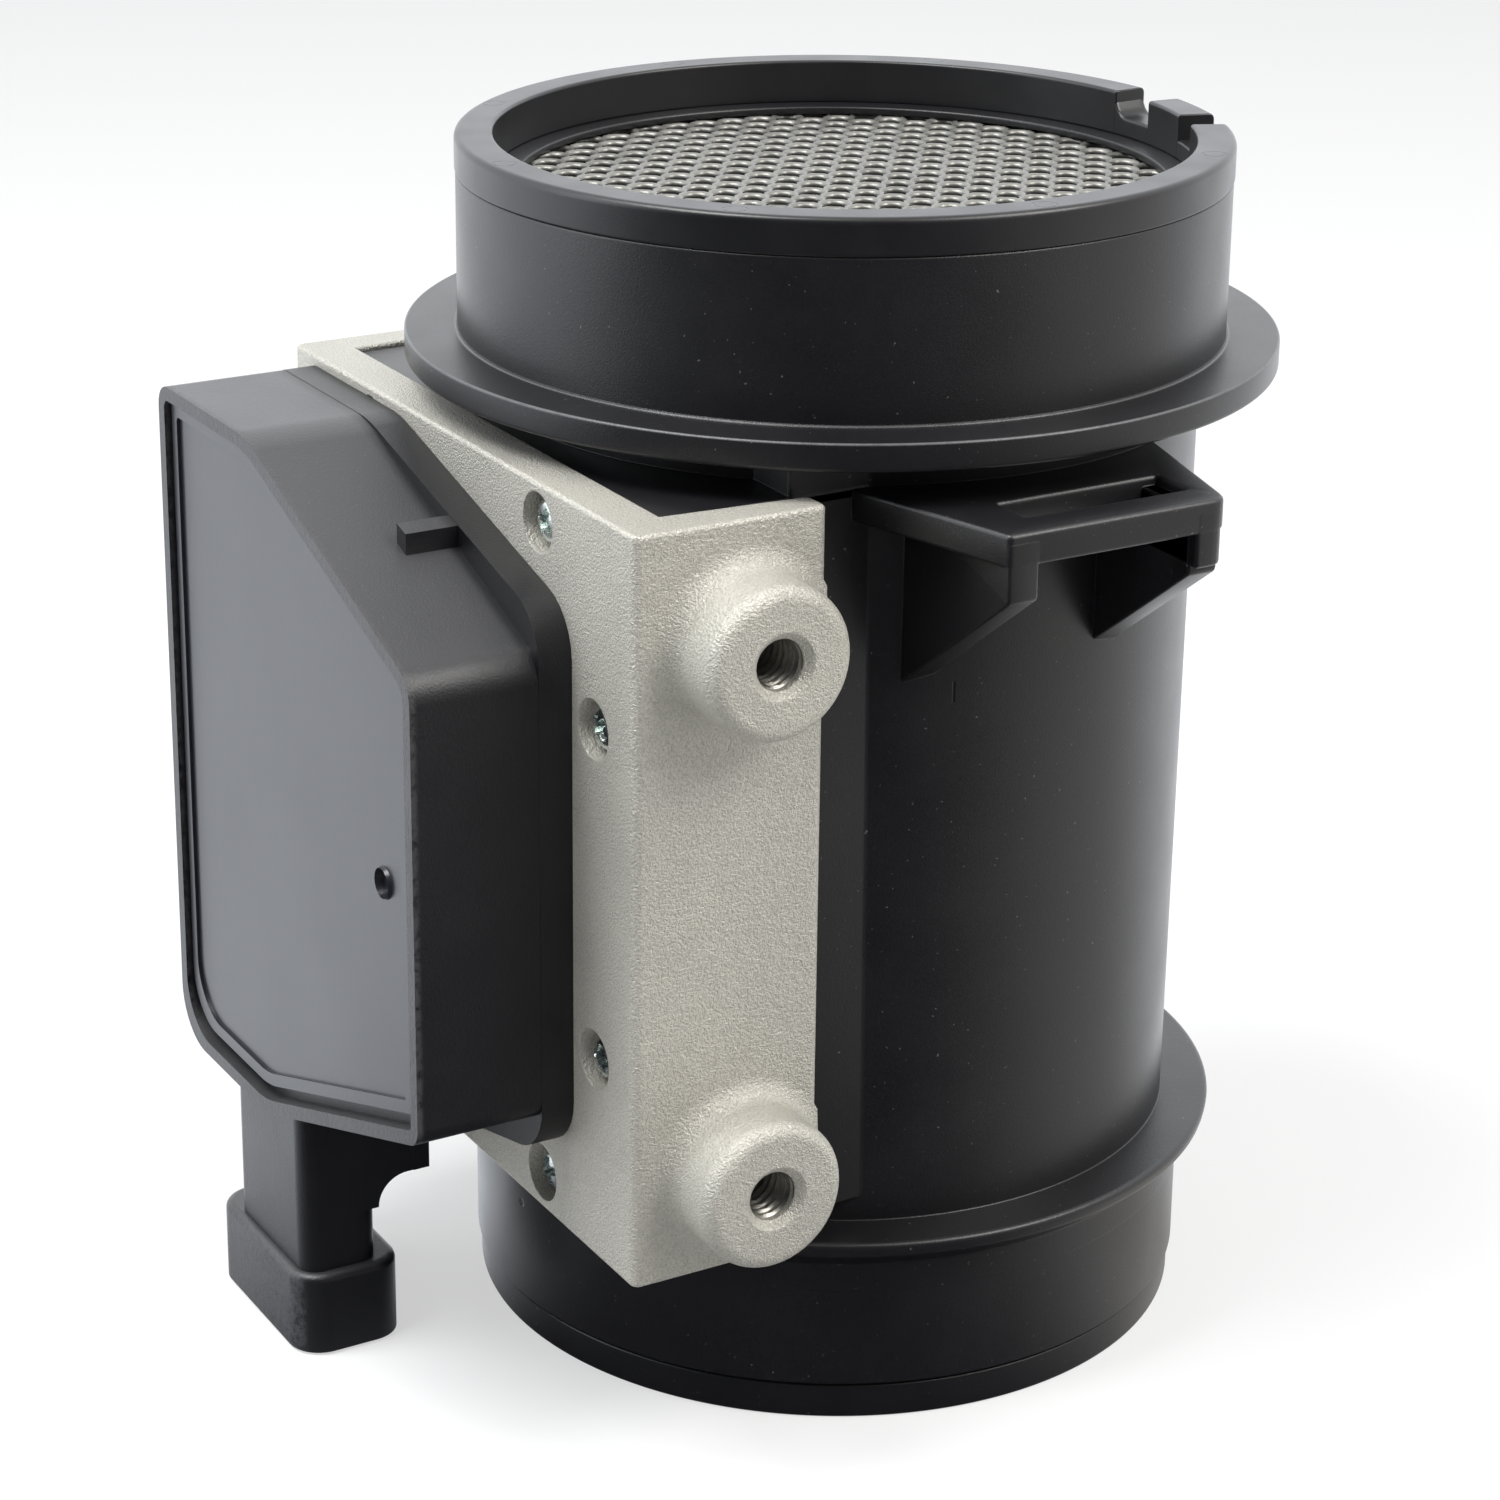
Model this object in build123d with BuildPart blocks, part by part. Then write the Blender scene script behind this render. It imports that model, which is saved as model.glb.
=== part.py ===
"""Hot-film mass airflow sensor: an air tube with a cast base and an electronics case on its side.

Millimetres, +Z along the tube against the air's way, origin on the tube's axis at the outlet foot.
The cast base and the case look to -X, and the base's threaded bosses to -Y.
"""
import os

from build123d import *

os.makedirs("parts", exist_ok=True)

# Clearances, and how far a cut runs past a face
press_gap = 0.05
slip_gap = 0.1
moulded_gap = 0.2
overrun = 1.0

# Middle height of the seat, base, case and stem, from which the tube's upper end follows
case_middle = 63.0
seat_half_height = 38.2
seat_bottom = case_middle - seat_half_height
seat_top = case_middle + seat_half_height
stem_height = case_middle

# Air tube, as radii about its axis and heights above the foot
bore_radius = 34.4
foot_radius = 38.6
outlet_radius = 39.0
outlet_mouth_radius = 36.6
outlet_mouth_depth = 9.0
mouth_taper = 4.0
foot_line_height = 3.7
foot_line_depth = 0.2
foot_line_width = 0.5
collar_radius = 42.3
collar_bottom = 14.2
collar_swell_radius = 41.4
collar_swell_height = 16.8
collar_rim_bottom = 20.3
collar_rim_top = 21.4
collar_dish = 0.9
collar_half_angle = 124.0
barrel_foot_radius = 37.0
barrel_head_radius = 37.4
flange_radius = 45.4
flange_gap = 3.5
flange_bottom = seat_top + flange_gap
flange_thickness = 2.9
inlet_radius = 39.9
inlet_length = 19.3
joint_height = flange_bottom + inlet_length

# Inlet ring and screen
ring_height = 3.8
ring_top = joint_height + ring_height
ring_radius = 40.0
ring_bore_radius = 36.0
ring_skirt_radius = 37.2
screen_setback = 2.6
screen_seat_height = joint_height - screen_setback
screen_thickness = 0.9
screen_view_radius = 33.4
screen_frame_thickness = 0.8
screen_gap_pitch = 6.3
screen_web = 1.0
screen_margin = 0.6
screen_spare_rows = 5
ring_edge_radius = 0.6
notch_angles = (-0.8, -21.3)
notch_widths = (6.4, 5.2)
notch_depth = 2.7

# Flat seat on the tube's side, which carries the cast base and fits between its legs
base_half_width = 38.2
leg_root_thickness = 4.75
leg_root_gap = 0.15
seat_front = 40.0
seat_half_width = base_half_width - leg_root_thickness - leg_root_gap
riser_front = 26.0
seat_rim = 3.0
seat_core_half_height = 13.5
seat_core_root = 36.0
socket_radius = 9.0
socket_land = 14.0

# Clip bracket below the flange
bracket_front = 52.6
bracket_left = 13.8
bracket_right = 11.0
bracket_splay = 5.2
bracket_drop = 3.7
bracket_top = flange_bottom - bracket_drop
bracket_thickness = 3.3
bracket_post_width = 3.4
bracket_post_height = 6.7
bracket_gusset_height = 21.2
clip_slot_length = 18.4
clip_slot_width = 5.0
clip_slot_setback = 4.2

# Cast base
plate_thickness = 5.3
base_lip_low = 0.5
base_lip_high = 0.4
base_bottom = seat_bottom - base_lip_low
base_top = seat_top + base_lip_high
leg_end = 24.6
leg_end_thickness = 3.5
cast_edge_radius = 0.9
boss_spots = (case_middle - 28.4, case_middle + 26.3)
boss_setback = 33.5
boss_radius = 7.7
boss_length = 7.25
boss_root_radius = 2.2
boss_rim_radius = 1.5
thread_radius = 2.55
thread_mouth_radius = 3.35
thread_depth = 10.6

# Screws that hold the base, as distances from the case's middle height
screw_rows = ((18.9, 34.6), (30.1, 17.2))
screw_radius = 1.3
screw_length = 9.5
screw_head_radius = 2.3
screw_head_height = 1.7
screw_head_sink = 2.3
counterbore_radius = 3.05

# Electronics case, seen from -X with +U to the right, V from the middle height
case_front = 62.4
case_left = 34.9
case_right = 25.8
case_half_height = 37.5
case_fold = 11.8
case_shoulder = 23.4
low_shoulder_extra = 1.1
foot_shoulder = 27.4
foot_thickness = 3.6
case_corner = 3.6
case_low_corner = 2.2
foot_corner = 6.0
far_high_corner = 2.5
far_low_corner = 6.0
fold_corner = 4.0
rim_width = 1.5
ledge_width = 2.5
lid_recess = 0.6
lid_thickness = 1.2
lid_gap = 0.8
lid_shift = (-0.25, 0.6)
lid_border = 1.35
lid_panel_height = 0.3
dimple_radius = 1.7
dimple_depth = 0.5
dimple_spot = 17.4
seal_width = 0.6
seal_inset = 1.5
seal_thickness = 0.6
bar_length = 5.6
bar_width = 2.0
bar_spot = 7.8

# Connector, moulded on the case's low wall
neck_left = 22.6
neck_right = 4.4
neck_front = 61.7
neck_back = 53.0
neck_corner = 2.2
collar_left = 26.6
collar_right = 3.2
plug_front = 62.7
plug_back = 50.5
plug_corner = 3.6
plug_edge = 0.9
plug_drop = 62.7
plug_height = 9.1
plug_bottom = case_middle - plug_drop
plug_top = plug_bottom + plug_height
root_back = 47.0
root_rise = 18.5
root_bottom = plug_bottom + root_rise
root_curve = 3.4
socket_wall = 1.7
socket_depth = 14.0
latch_rise = 11.2
latch_reach = 1.5
blade_count = 3
blade_spacing = 5.0
blade_width = 2.8
blade_thickness = 0.8
blade_setback = 2.2
blade_turn = plug_bottom + 33.3

# Circuit on the base
pad_thickness = 0.3
board_thickness = 0.8
board_gap = 0.8
package_height = 1.6
driver_size = (9.0, 9.0)
driver_spot = (-19.0, 19.0)
signal_size = (5.0, 6.4)
signal_spot = (-20.0, -2.0)
power_size = (6.6, 10.0)
power_spot = (-21.0, -19.0)
power_height = 2.3
filter_radius = 1.7
filter_height = 2.6
filter_count = 4
filter_spacing = 5.0
filter_spot = (13.0, 0.0)

# Stem and measuring tube in the air
stem_head_radius = 11.0
stem_head_thickness = 1.8
gasket_inner_radius = 11.6
gasket_outer_radius = 13.4
gasket_thickness = 1.0
ring_section = 1.5
ring_groove_front = 38.6
blade_depth = 6.4
blade_height = 14.0
duct_radius = 11.0
duct_wall = 1.6
duct_height = 26.0
fork_thickness = 2.0
fork_reach = 8.2
fork_height = 12.6
window_length = 9.0
window_height = 4.0
window_rise = 3.1
film_thickness = 0.4
film_length = 11.0
film_height = 3.2
lead_width = 0.8
lead_thickness = 0.3
lead_count = 4
lead_spacing = 2.8
lead_foot = 3.2
lead_end = 4.4
blade_corner = 3.0
plug_end = 34.6
sleeve_wall = 1.6
sleeve_length = 4.0
lip_radius = 0.7

plate_front = seat_front + plate_thickness
lid_seat = case_front - lid_recess - lid_thickness
blade_line = -(neck_front + neck_back) / 2


def front_plane(distance):
    """A plane that looks to -X, with -Y to its right and +Z up."""
    return Plane(origin=(-distance, 0, 0), x_dir=(0, -1, 0), z_dir=(-1, 0, 0))


def side_plane(y):
    """A plane that looks to -Y, with +X to its right and +Z up."""
    return Plane(origin=(0, y, 0), x_dir=(1, 0, 0), z_dir=(0, -1, 0))


def radial_plane(angle):
    """An upright plane through the axis, with its X away from the axis at an angle."""
    outward = Vector(1, 0, 0).rotate(Axis.Z, angle)
    return Plane(origin=(0, 0, 0), x_dir=outward, z_dir=outward.cross(Vector(0, 0, 1)))


def case_outline(shoulder, corner, low_corner, inset=0.0):
    """The case's six-sided outline, inset: upright far side, sloped shoulders on the near side."""
    low = case_middle - case_half_height
    high = case_middle + case_half_height
    with BuildSketch() as outline:
        with BuildLine():
            Polyline(
                (-case_left, low),
                (-case_left, high),
                (-case_fold, high),
                (case_right, case_middle + shoulder),
                (case_right, case_middle - shoulder - low_shoulder_extra),
                (-case_fold, low),
                close=True,
            )
        make_face()
        if inset:
            offset(amount=-inset, kind=Kind.INTERSECTION)
        corners = outline.vertices().sort_by(Axis.X)
        far, folds, near = corners[:2], corners[2:4], corners[4:]
        fillet(far.sort_by(Axis.Y)[0], far_low_corner)
        fillet(far.sort_by(Axis.Y)[-1], far_high_corner)
        fillet(folds, fold_corner)
        fillet(near.sort_by(Axis.Y)[0], low_corner)
        fillet(near.sort_by(Axis.Y)[-1], corner)
    return outline.sketch


def blade_outline(margin=0.0):
    """The stem's rounded section, which the measuring tube's opening follows with a margin."""
    with BuildSketch() as outline:
        with Locations((0, stem_height)):
            RectangleRounded(
                blade_depth + 2 * margin,
                blade_height + 2 * margin,
                blade_corner + margin,
            )
    return outline.sketch


screw_spots = [
    (side * across, case_middle + end * along)
    for across, along in screw_rows
    for side in (-1, 1)
    for end in (-1, 1)
]


# Pockets in the seat's two sides, between the tube's wall, the stem's socket and the screws
with BuildPart() as seat_core:
    core_end = seat_half_width - seat_rim
    with BuildSketch(Plane.XY.offset(case_middle - seat_core_half_height)):
        for side in (-1, 1):
            with BuildLine():
                Polyline(
                    (-seat_front, side * socket_land),
                    (-seat_front, side * core_end),
                    (-leg_end, side * core_end),
                    (-seat_core_root, side * socket_land),
                    close=True,
                )
            make_face()
    extrude(amount=2 * seat_core_half_height)


# Tube housing: one moulding with both spigots, the flange, the seat and the clip bracket
with BuildPart() as tube_housing:
    with BuildSketch(Plane.XZ):
        with BuildLine():
            Polyline(
                (outlet_mouth_radius, 0),
                (foot_radius, 0),
                (foot_radius, foot_line_height),
                (foot_radius - foot_line_depth, foot_line_height),
                (foot_radius - foot_line_depth, foot_line_height + foot_line_width),
                (outlet_radius, foot_line_height + foot_line_width),
                (outlet_radius, collar_bottom),
                (barrel_foot_radius, collar_rim_top),
                (barrel_head_radius, flange_bottom),
                (flange_radius, flange_bottom),
                (flange_radius, flange_bottom + flange_thickness),
                (inlet_radius, flange_bottom + flange_thickness),
                (inlet_radius, joint_height),
                (ring_skirt_radius, joint_height),
                (ring_skirt_radius, screen_seat_height),
                (bore_radius, screen_seat_height),
                (bore_radius, outlet_mouth_depth + mouth_taper),
                (outlet_mouth_radius, outlet_mouth_depth),
                close=True,
            )
        make_face()
    revolve(axis=Axis.Z)
    with BuildSketch(radial_plane(-collar_half_angle)):
        with BuildLine():
            ThreePointArc(
                (outlet_radius, collar_bottom),
                (collar_swell_radius, collar_swell_height),
                (collar_radius, collar_rim_bottom),
            )
            Polyline(
                (collar_radius, collar_rim_bottom),
                (collar_radius, collar_rim_top),
                (barrel_foot_radius, collar_rim_top + collar_dish),
                (bore_radius, collar_rim_top + collar_dish),
                (bore_radius, collar_bottom),
                (outlet_radius, collar_bottom),
            )
        make_face()
    revolve(axis=Axis.Z, revolution_arc=2 * collar_half_angle)
    with BuildSketch(Plane.XY.offset(seat_bottom)):
        with Locations((-seat_front / 2, 0)):
            Rectangle(seat_front, 2 * seat_half_width)
    extrude(amount=seat_top - seat_bottom)
    with BuildSketch(Plane.XY.offset(seat_bottom)):
        with Locations((-riser_front / 2, 0)):
            Rectangle(riser_front, 2 * seat_half_width)
    extrude(amount=flange_bottom - seat_bottom)
    with BuildSketch(Plane.XY.offset(bracket_top)):
        with BuildLine():
            Polyline(
                (-bracket_left, -bracket_front),
                (bracket_right, -bracket_front),
                (bracket_right + bracket_splay, -seat_half_width),
                (-bracket_left - bracket_splay, -seat_half_width),
                close=True,
            )
        make_face()
    extrude(amount=-bracket_thickness)
    for post_left in (-bracket_left, bracket_right - bracket_post_width):
        with BuildSketch(Plane.YZ.offset(post_left)):
            with BuildLine():
                Polyline(
                    (-bracket_front, bracket_top),
                    (-bracket_front, bracket_top - bracket_post_height),
                    (-seat_half_width, bracket_top - bracket_gusset_height),
                    (-seat_half_width, bracket_top),
                    close=True,
                )
            make_face()
        extrude(amount=bracket_post_width)
    slot_middle = clip_slot_setback + clip_slot_width / 2 - bracket_front
    with BuildSketch(Plane.XY.offset(bracket_top)):
        with Locations((0, slot_middle)):
            Rectangle(clip_slot_length, clip_slot_width)
    extrude(amount=-bracket_thickness, mode=Mode.SUBTRACT)
    with BuildSketch(Plane.XY.offset(outlet_mouth_depth + mouth_taper)):
        Circle(bore_radius)
    extrude(amount=screen_seat_height - outlet_mouth_depth - mouth_taper, mode=Mode.SUBTRACT)
    with BuildSketch(front_plane(seat_front)):
        with Locations((0, stem_height)):
            Circle(socket_radius)
    extrude(amount=-seat_front, mode=Mode.SUBTRACT)
    with BuildSketch(front_plane(seat_front)):
        with Locations((0, stem_height)):
            Circle(gasket_outer_radius)
            Circle(gasket_inner_radius, mode=Mode.SUBTRACT)
    extrude(amount=-gasket_thickness, mode=Mode.SUBTRACT)
    add(seat_core.part, mode=Mode.SUBTRACT)
    with BuildSketch(front_plane(seat_front)):
        with Locations(*screw_spots):
            Circle(screw_radius + press_gap)
    extrude(amount=-screw_length, mode=Mode.SUBTRACT)
tube_housing.part.label = "tube_housing"
export_step(tube_housing.part, "parts/tube_housing.step")


# Inlet ring: moulded, with two notches on each side of a tab, let into the housing by a skirt
skirt_bottom = screen_seat_height + screen_thickness + screen_frame_thickness
with BuildPart() as inlet_ring:
    with BuildSketch(Plane.XZ):
        with BuildLine():
            Polyline(
                (ring_bore_radius, ring_top),
                (ring_radius, ring_top),
                (ring_radius, joint_height),
                (ring_skirt_radius - press_gap, joint_height),
                (ring_skirt_radius - press_gap, skirt_bottom),
                (ring_bore_radius, skirt_bottom),
                close=True,
            )
        make_face()
    revolve(axis=Axis.Z)
    top_edges = inlet_ring.edges().group_by(Axis.Z)[-1].sort_by(SortBy.RADIUS)
    fillet(top_edges[-1], ring_edge_radius)
    for angle, width in zip(notch_angles, notch_widths):
        outward = Vector(1, 0, 0).rotate(Axis.Z, angle)
        notch_plane = Plane(origin=(0, 0, 0), x_dir=Vector(0, 0, 1).cross(outward), z_dir=outward)
        with BuildSketch(notch_plane.offset(ring_bore_radius - overrun)):
            with Locations((0, ring_top)):
                Rectangle(width, 2 * notch_depth)
            fillet(vertices().group_by(Axis.Y)[0], notch_depth / 2)
        extrude(amount=ring_radius - ring_bore_radius + 2 * overrun, mode=Mode.SUBTRACT)
inlet_ring.part.label = "inlet_ring"
export_step(inlet_ring.part, "parts/inlet_ring.step")


# Screen frame: a moulded ring that clamps the screen's edge under the inlet ring
with BuildPart() as screen_frame:
    with BuildSketch(Plane.XY.offset(screen_seat_height + screen_thickness)):
        Circle(ring_skirt_radius - press_gap)
        Circle(screen_view_radius, mode=Mode.SUBTRACT)
    extrude(amount=screen_frame_thickness)
screen_frame.part.label = "screen_frame"
export_step(screen_frame.part, "parts/screen_frame.step")


# Inlet screen: a metal disc pierced by six-sided holes in a honeycomb pattern
with BuildPart() as inlet_screen:
    with BuildSketch(Plane.XY.offset(screen_seat_height)):
        Circle(ring_skirt_radius - moulded_gap)
        across = 2 * int(screen_view_radius / screen_gap_pitch) + screen_spare_rows
        honeycomb = HexLocations(screen_gap_pitch / 2, across, across).local_locations
        reach = screen_view_radius - screen_margin - screen_gap_pitch / 2
        gaps = [spot for spot in honeycomb if spot.position.length < reach]
        with Locations(*gaps):
            RegularPolygon(
                (screen_gap_pitch - screen_web) / 2,
                6,
                major_radius=False,
                mode=Mode.SUBTRACT,
            )
    extrude(amount=screen_thickness)
inlet_screen.part.label = "inlet_screen"
export_step(inlet_screen.part, "parts/inlet_screen.step")


# Cast base: an aluminium channel that cools the circuit, with two threaded bosses on its near leg
with BuildPart() as base_casting:
    with BuildSketch(Plane.XY.offset(base_bottom)):
        with BuildLine():
            Polyline(
                (-plate_front, -base_half_width),
                (-leg_end, -base_half_width),
                (-leg_end, leg_end_thickness - base_half_width),
                (-seat_front, -seat_half_width - leg_root_gap),
                (-seat_front, seat_half_width + leg_root_gap),
                (-leg_end, base_half_width - leg_end_thickness),
                (-leg_end, base_half_width),
                (-plate_front, base_half_width),
                close=True,
            )
        make_face()
    extrude(amount=base_top - base_bottom)
    uprights = base_casting.edges().filter_by(Axis.Z)
    fillet(uprights.group_by(Axis.X)[0] + uprights.group_by(Axis.X)[-1], cast_edge_radius)
    rims = base_casting.faces().group_by(Axis.Z)
    fillet(rims[-1].edges() + rims[0].edges(), cast_edge_radius / 2)
    for spot in boss_spots:
        with BuildSketch(Plane.XY.offset(spot)):
            with BuildLine():
                Polyline(
                    (-boss_setback, -base_half_width + overrun),
                    (-boss_setback, -base_half_width - boss_length),
                    (-boss_setback + boss_radius - boss_rim_radius, -base_half_width - boss_length),
                )
                RadiusArc(
                    (-boss_setback + boss_radius - boss_rim_radius, -base_half_width - boss_length),
                    (-boss_setback + boss_radius, -base_half_width - boss_length + boss_rim_radius),
                    -boss_rim_radius,
                )
                Line(
                    (-boss_setback + boss_radius, -base_half_width - boss_length + boss_rim_radius),
                    (-boss_setback + boss_radius, -base_half_width - boss_root_radius),
                )
                RadiusArc(
                    (-boss_setback + boss_radius, -base_half_width - boss_root_radius),
                    (-boss_setback + boss_radius + boss_root_radius, -base_half_width),
                    boss_root_radius,
                )
                Polyline(
                    (-boss_setback + boss_radius + boss_root_radius, -base_half_width),
                    (-boss_setback + boss_radius + boss_root_radius, -base_half_width + overrun),
                    (-boss_setback, -base_half_width + overrun),
                )
            make_face()
        revolve(axis=Axis((-boss_setback, 0, spot), (0, 1, 0)))
    with BuildSketch(Plane.XY.offset(base_bottom)):
        with Locations((-leg_end, -base_half_width)):
            Rectangle(
                boss_root_radius + overrun,
                2 * (boss_root_radius + overrun),
                align=(Align.MIN, Align.CENTER),
            )
    extrude(amount=base_top - base_bottom, mode=Mode.SUBTRACT)
    with Locations(*[side_plane(-base_half_width - boss_length) * Pos(-boss_setback, spot) for spot in boss_spots]):
        Hole(thread_radius, thread_depth)
    mouths = base_casting.faces().group_by(Axis.Y)[0].edges().filter_by(GeomType.CIRCLE)
    chamfer([edge for edge in mouths if edge.radius < boss_radius / 2], thread_mouth_radius - thread_radius)
    with Locations(front_plane(plate_front)):
        with Locations(*screw_spots):
            CounterBoreHole(screw_radius + slip_gap, counterbore_radius, screw_head_sink, plate_thickness)
        with Locations((0, stem_height)):
            CounterBoreHole(
                socket_radius,
                stem_head_radius + slip_gap,
                stem_head_thickness,
                plate_thickness,
            )
base_casting.part.label = "base_casting"
export_step(base_casting.part, "parts/base_casting.step")


# Base gasket: a rubber ring between the base and the seat, around the stem's socket
with BuildPart() as base_gasket:
    with BuildSketch(front_plane(seat_front)):
        with Locations((0, stem_height)):
            Circle(gasket_outer_radius - press_gap)
            Circle(gasket_inner_radius + press_gap, mode=Mode.SUBTRACT)
    extrude(amount=-gasket_thickness)
base_gasket.part.label = "base_gasket"
export_step(base_gasket.part, "parts/base_gasket.step")


# Base screws: pan heads with a cross recess, sunk in the casting's counterbores
with BuildPart() as base_screws:
    head_front = plate_front - screw_head_sink + screw_head_height
    with BuildSketch(front_plane(head_front)):
        with Locations(*screw_spots):
            Circle(screw_head_radius)
    extrude(amount=-screw_head_height)
    crowns = base_screws.faces().group_by(Axis.X)[0].edges()
    fillet(crowns, screw_head_height / 2)
    with BuildSketch(front_plane(plate_front - screw_head_sink)):
        with Locations(*screw_spots):
            Circle(screw_radius)
    extrude(amount=-(plate_thickness - screw_head_sink + screw_length - slip_gap))
    with BuildSketch(front_plane(head_front)):
        with Locations(*screw_spots):
            Rectangle(screw_head_radius, screw_radius / 2)
            Rectangle(screw_radius / 2, screw_head_radius)
    extrude(amount=-screw_head_height / 2, mode=Mode.SUBTRACT)
base_screws.part.label = "base_screws"
export_step(base_screws.part, "parts/base_screws.step")


def seal_ring(inset, gap=0.0):
    """A band that follows the case's wall, for a bead of sealant or, with a gap, for its groove."""
    outer = case_outline(case_shoulder, case_corner, case_low_corner, inset - gap)
    inner = case_outline(case_shoulder, case_corner, case_low_corner, inset + seal_width + gap)
    return outer - inner


blade_middle = (collar_left + collar_right) / 2
blade_spots = [blade_middle + (count - (blade_count - 1) / 2) * blade_spacing for count in range(blade_count)]


# Electronics case: a moulded frame with the connector on its low wall
case_low = case_middle - case_half_height
wall = rim_width + ledge_width
neck_top = case_middle - case_shoulder - case_low_corner - wall
with BuildPart() as electronics_case:
    with BuildSketch(front_plane(plate_front)):
        add(case_outline(case_shoulder, case_corner, case_low_corner))
    extrude(amount=case_front - plate_front)
    with BuildSketch(front_plane(plate_front)):
        add(case_outline(foot_shoulder, foot_corner, foot_corner))
    extrude(amount=foot_thickness)
    with BuildSketch(front_plane(plate_front)):
        add(case_outline(foot_shoulder, foot_corner, foot_corner))
        with Locations((bar_spot, case_middle + case_half_height / 2)):
            Rectangle(bar_width, case_half_height, mode=Mode.INTERSECT)
    extrude(amount=foot_thickness + bar_length)
    plug_middle = (-(plug_front + plug_back) / 2, (collar_left + collar_right) / 2)
    with BuildSketch(Plane.XY.offset(plug_bottom)):
        with Locations(plug_middle):
            RectangleRounded(plug_front - plug_back, collar_left - collar_right, plug_corner)
    collar = extrude(amount=plug_top - plug_bottom)
    fillet(collar.faces().sort_by(Axis.Z)[-1].edges(), plug_edge)
    with BuildSketch(Plane.XY.offset(plug_top - plug_edge)):
        with Locations((blade_line, (neck_left + neck_right) / 2)):
            RectangleRounded(neck_front - neck_back, neck_left - neck_right, neck_corner)
    extrude(amount=neck_top - plug_top + plug_edge)
    with BuildSketch(Plane.XZ.offset(-neck_left)):
        with BuildLine():
            Polyline(
                (-neck_back - neck_corner, root_bottom - root_curve),
                (-neck_back - neck_corner, neck_top),
                (-root_back, neck_top),
                (-root_back, root_bottom),
                (-neck_back + root_curve, root_bottom),
            )
            RadiusArc(
                (-neck_back + root_curve, root_bottom),
                (-neck_back, root_bottom - root_curve),
                -root_curve,
            )
            Line((-neck_back, root_bottom - root_curve), (-neck_back - neck_corner, root_bottom - root_curve))
        make_face()
    extrude(amount=neck_left - neck_right)
    with BuildSketch(Plane.XZ.offset(-(neck_left + neck_right) / 2 - blade_width)):
        with Locations((-neck_back, plug_bottom + latch_rise)):
            RegularPolygon(latch_reach, 3, rotation=0)
    extrude(amount=2 * blade_width)
    with BuildSketch(front_plane(plate_front)):
        add(case_outline(case_shoulder, case_corner, case_low_corner, wall))
    extrude(amount=lid_seat - plate_front, mode=Mode.SUBTRACT)
    with BuildSketch(front_plane(lid_seat)):
        add(case_outline(case_shoulder, case_corner, case_low_corner, rim_width))
    extrude(amount=case_front - lid_seat, mode=Mode.SUBTRACT)
    with BuildSketch(front_plane(lid_seat)):
        add(seal_ring(rim_width + seal_inset, press_gap))
    extrude(amount=-seal_thickness, mode=Mode.SUBTRACT)
    with BuildSketch(front_plane(plate_front)):
        add(seal_ring(rim_width, press_gap))
    extrude(amount=seal_thickness, mode=Mode.SUBTRACT)
    with BuildSketch(Plane.XY.offset(plug_bottom)):
        with Locations(plug_middle):
            RectangleRounded(
                plug_front - plug_back - 2 * socket_wall,
                collar_left - collar_right - 2 * socket_wall,
                plug_corner - socket_wall,
            )
    extrude(amount=plug_top - plug_bottom - socket_wall, mode=Mode.SUBTRACT)
    with BuildSketch(Plane.XY.offset(plug_bottom)):
        with Locations((blade_line, plug_middle[1])):
            RectangleRounded(
                neck_front - neck_back - 2 * socket_wall,
                neck_left - neck_right - 2 * socket_wall,
                neck_corner - socket_wall / 2,
            )
    extrude(amount=socket_depth, mode=Mode.SUBTRACT)
    with BuildSketch(Plane.XY.offset(plug_bottom)):
        with Locations(*[(blade_line, spot) for spot in blade_spots]):
            Rectangle(blade_thickness + 2 * press_gap, blade_width + 2 * press_gap)
    extrude(amount=blade_turn - plug_bottom, mode=Mode.SUBTRACT)
electronics_case.part.label = "electronics_case"
export_step(electronics_case.part, "parts/electronics_case.step")


# Case seal: the bead of sealant between the case's foot and the base
with BuildPart() as case_seal:
    with BuildSketch(front_plane(plate_front)):
        add(seal_ring(rim_width))
    extrude(amount=seal_thickness)
case_seal.part.label = "case_seal"
export_step(case_seal.part, "parts/case_seal.step")


# Cover seal: the bead of sealant under the cover's edge
with BuildPart() as cover_seal:
    with BuildSketch(front_plane(lid_seat)):
        add(seal_ring(rim_width + seal_inset))
    extrude(amount=-seal_thickness)
cover_seal.part.label = "cover_seal"
export_step(cover_seal.part, "parts/cover_seal.step")


# Case cover: a thin sheet let into the case's rim and set high in it, with a raised panel and a dimple
with BuildPart() as case_cover:
    with BuildSketch(front_plane(lid_seat)):
        with Locations(lid_shift):
            add(case_outline(case_shoulder, case_corner, case_low_corner, rim_width + lid_gap))
    extrude(amount=lid_thickness)
    with BuildSketch(front_plane(lid_seat + lid_thickness)):
        with Locations(lid_shift):
            add(case_outline(case_shoulder, case_corner, case_low_corner, rim_width + lid_gap + lid_border))
    extrude(amount=lid_panel_height)
    with BuildSketch(front_plane(lid_seat + lid_thickness + lid_panel_height)):
        with Locations((dimple_spot, case_middle)):
            Circle(dimple_radius)
    extrude(amount=-dimple_depth, taper=30, mode=Mode.SUBTRACT)
case_cover.part.label = "case_cover"
export_step(case_cover.part, "parts/case_cover.step")


# Thermal pad and circuit board: cut to the case's inner outline, with a slit for the stem's leads
def board_outline(gap):
    """The case's inner outline less a gap, with a slit that the leads come through."""
    slit_height = lead_count * lead_spacing
    with BuildSketch() as outline:
        add(case_outline(case_shoulder, case_corner, case_low_corner, wall + gap))
        with Locations((lead_offset, stem_height)):
            Rectangle(4 * lead_thickness, slit_height, mode=Mode.SUBTRACT)
    return outline.sketch


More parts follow.
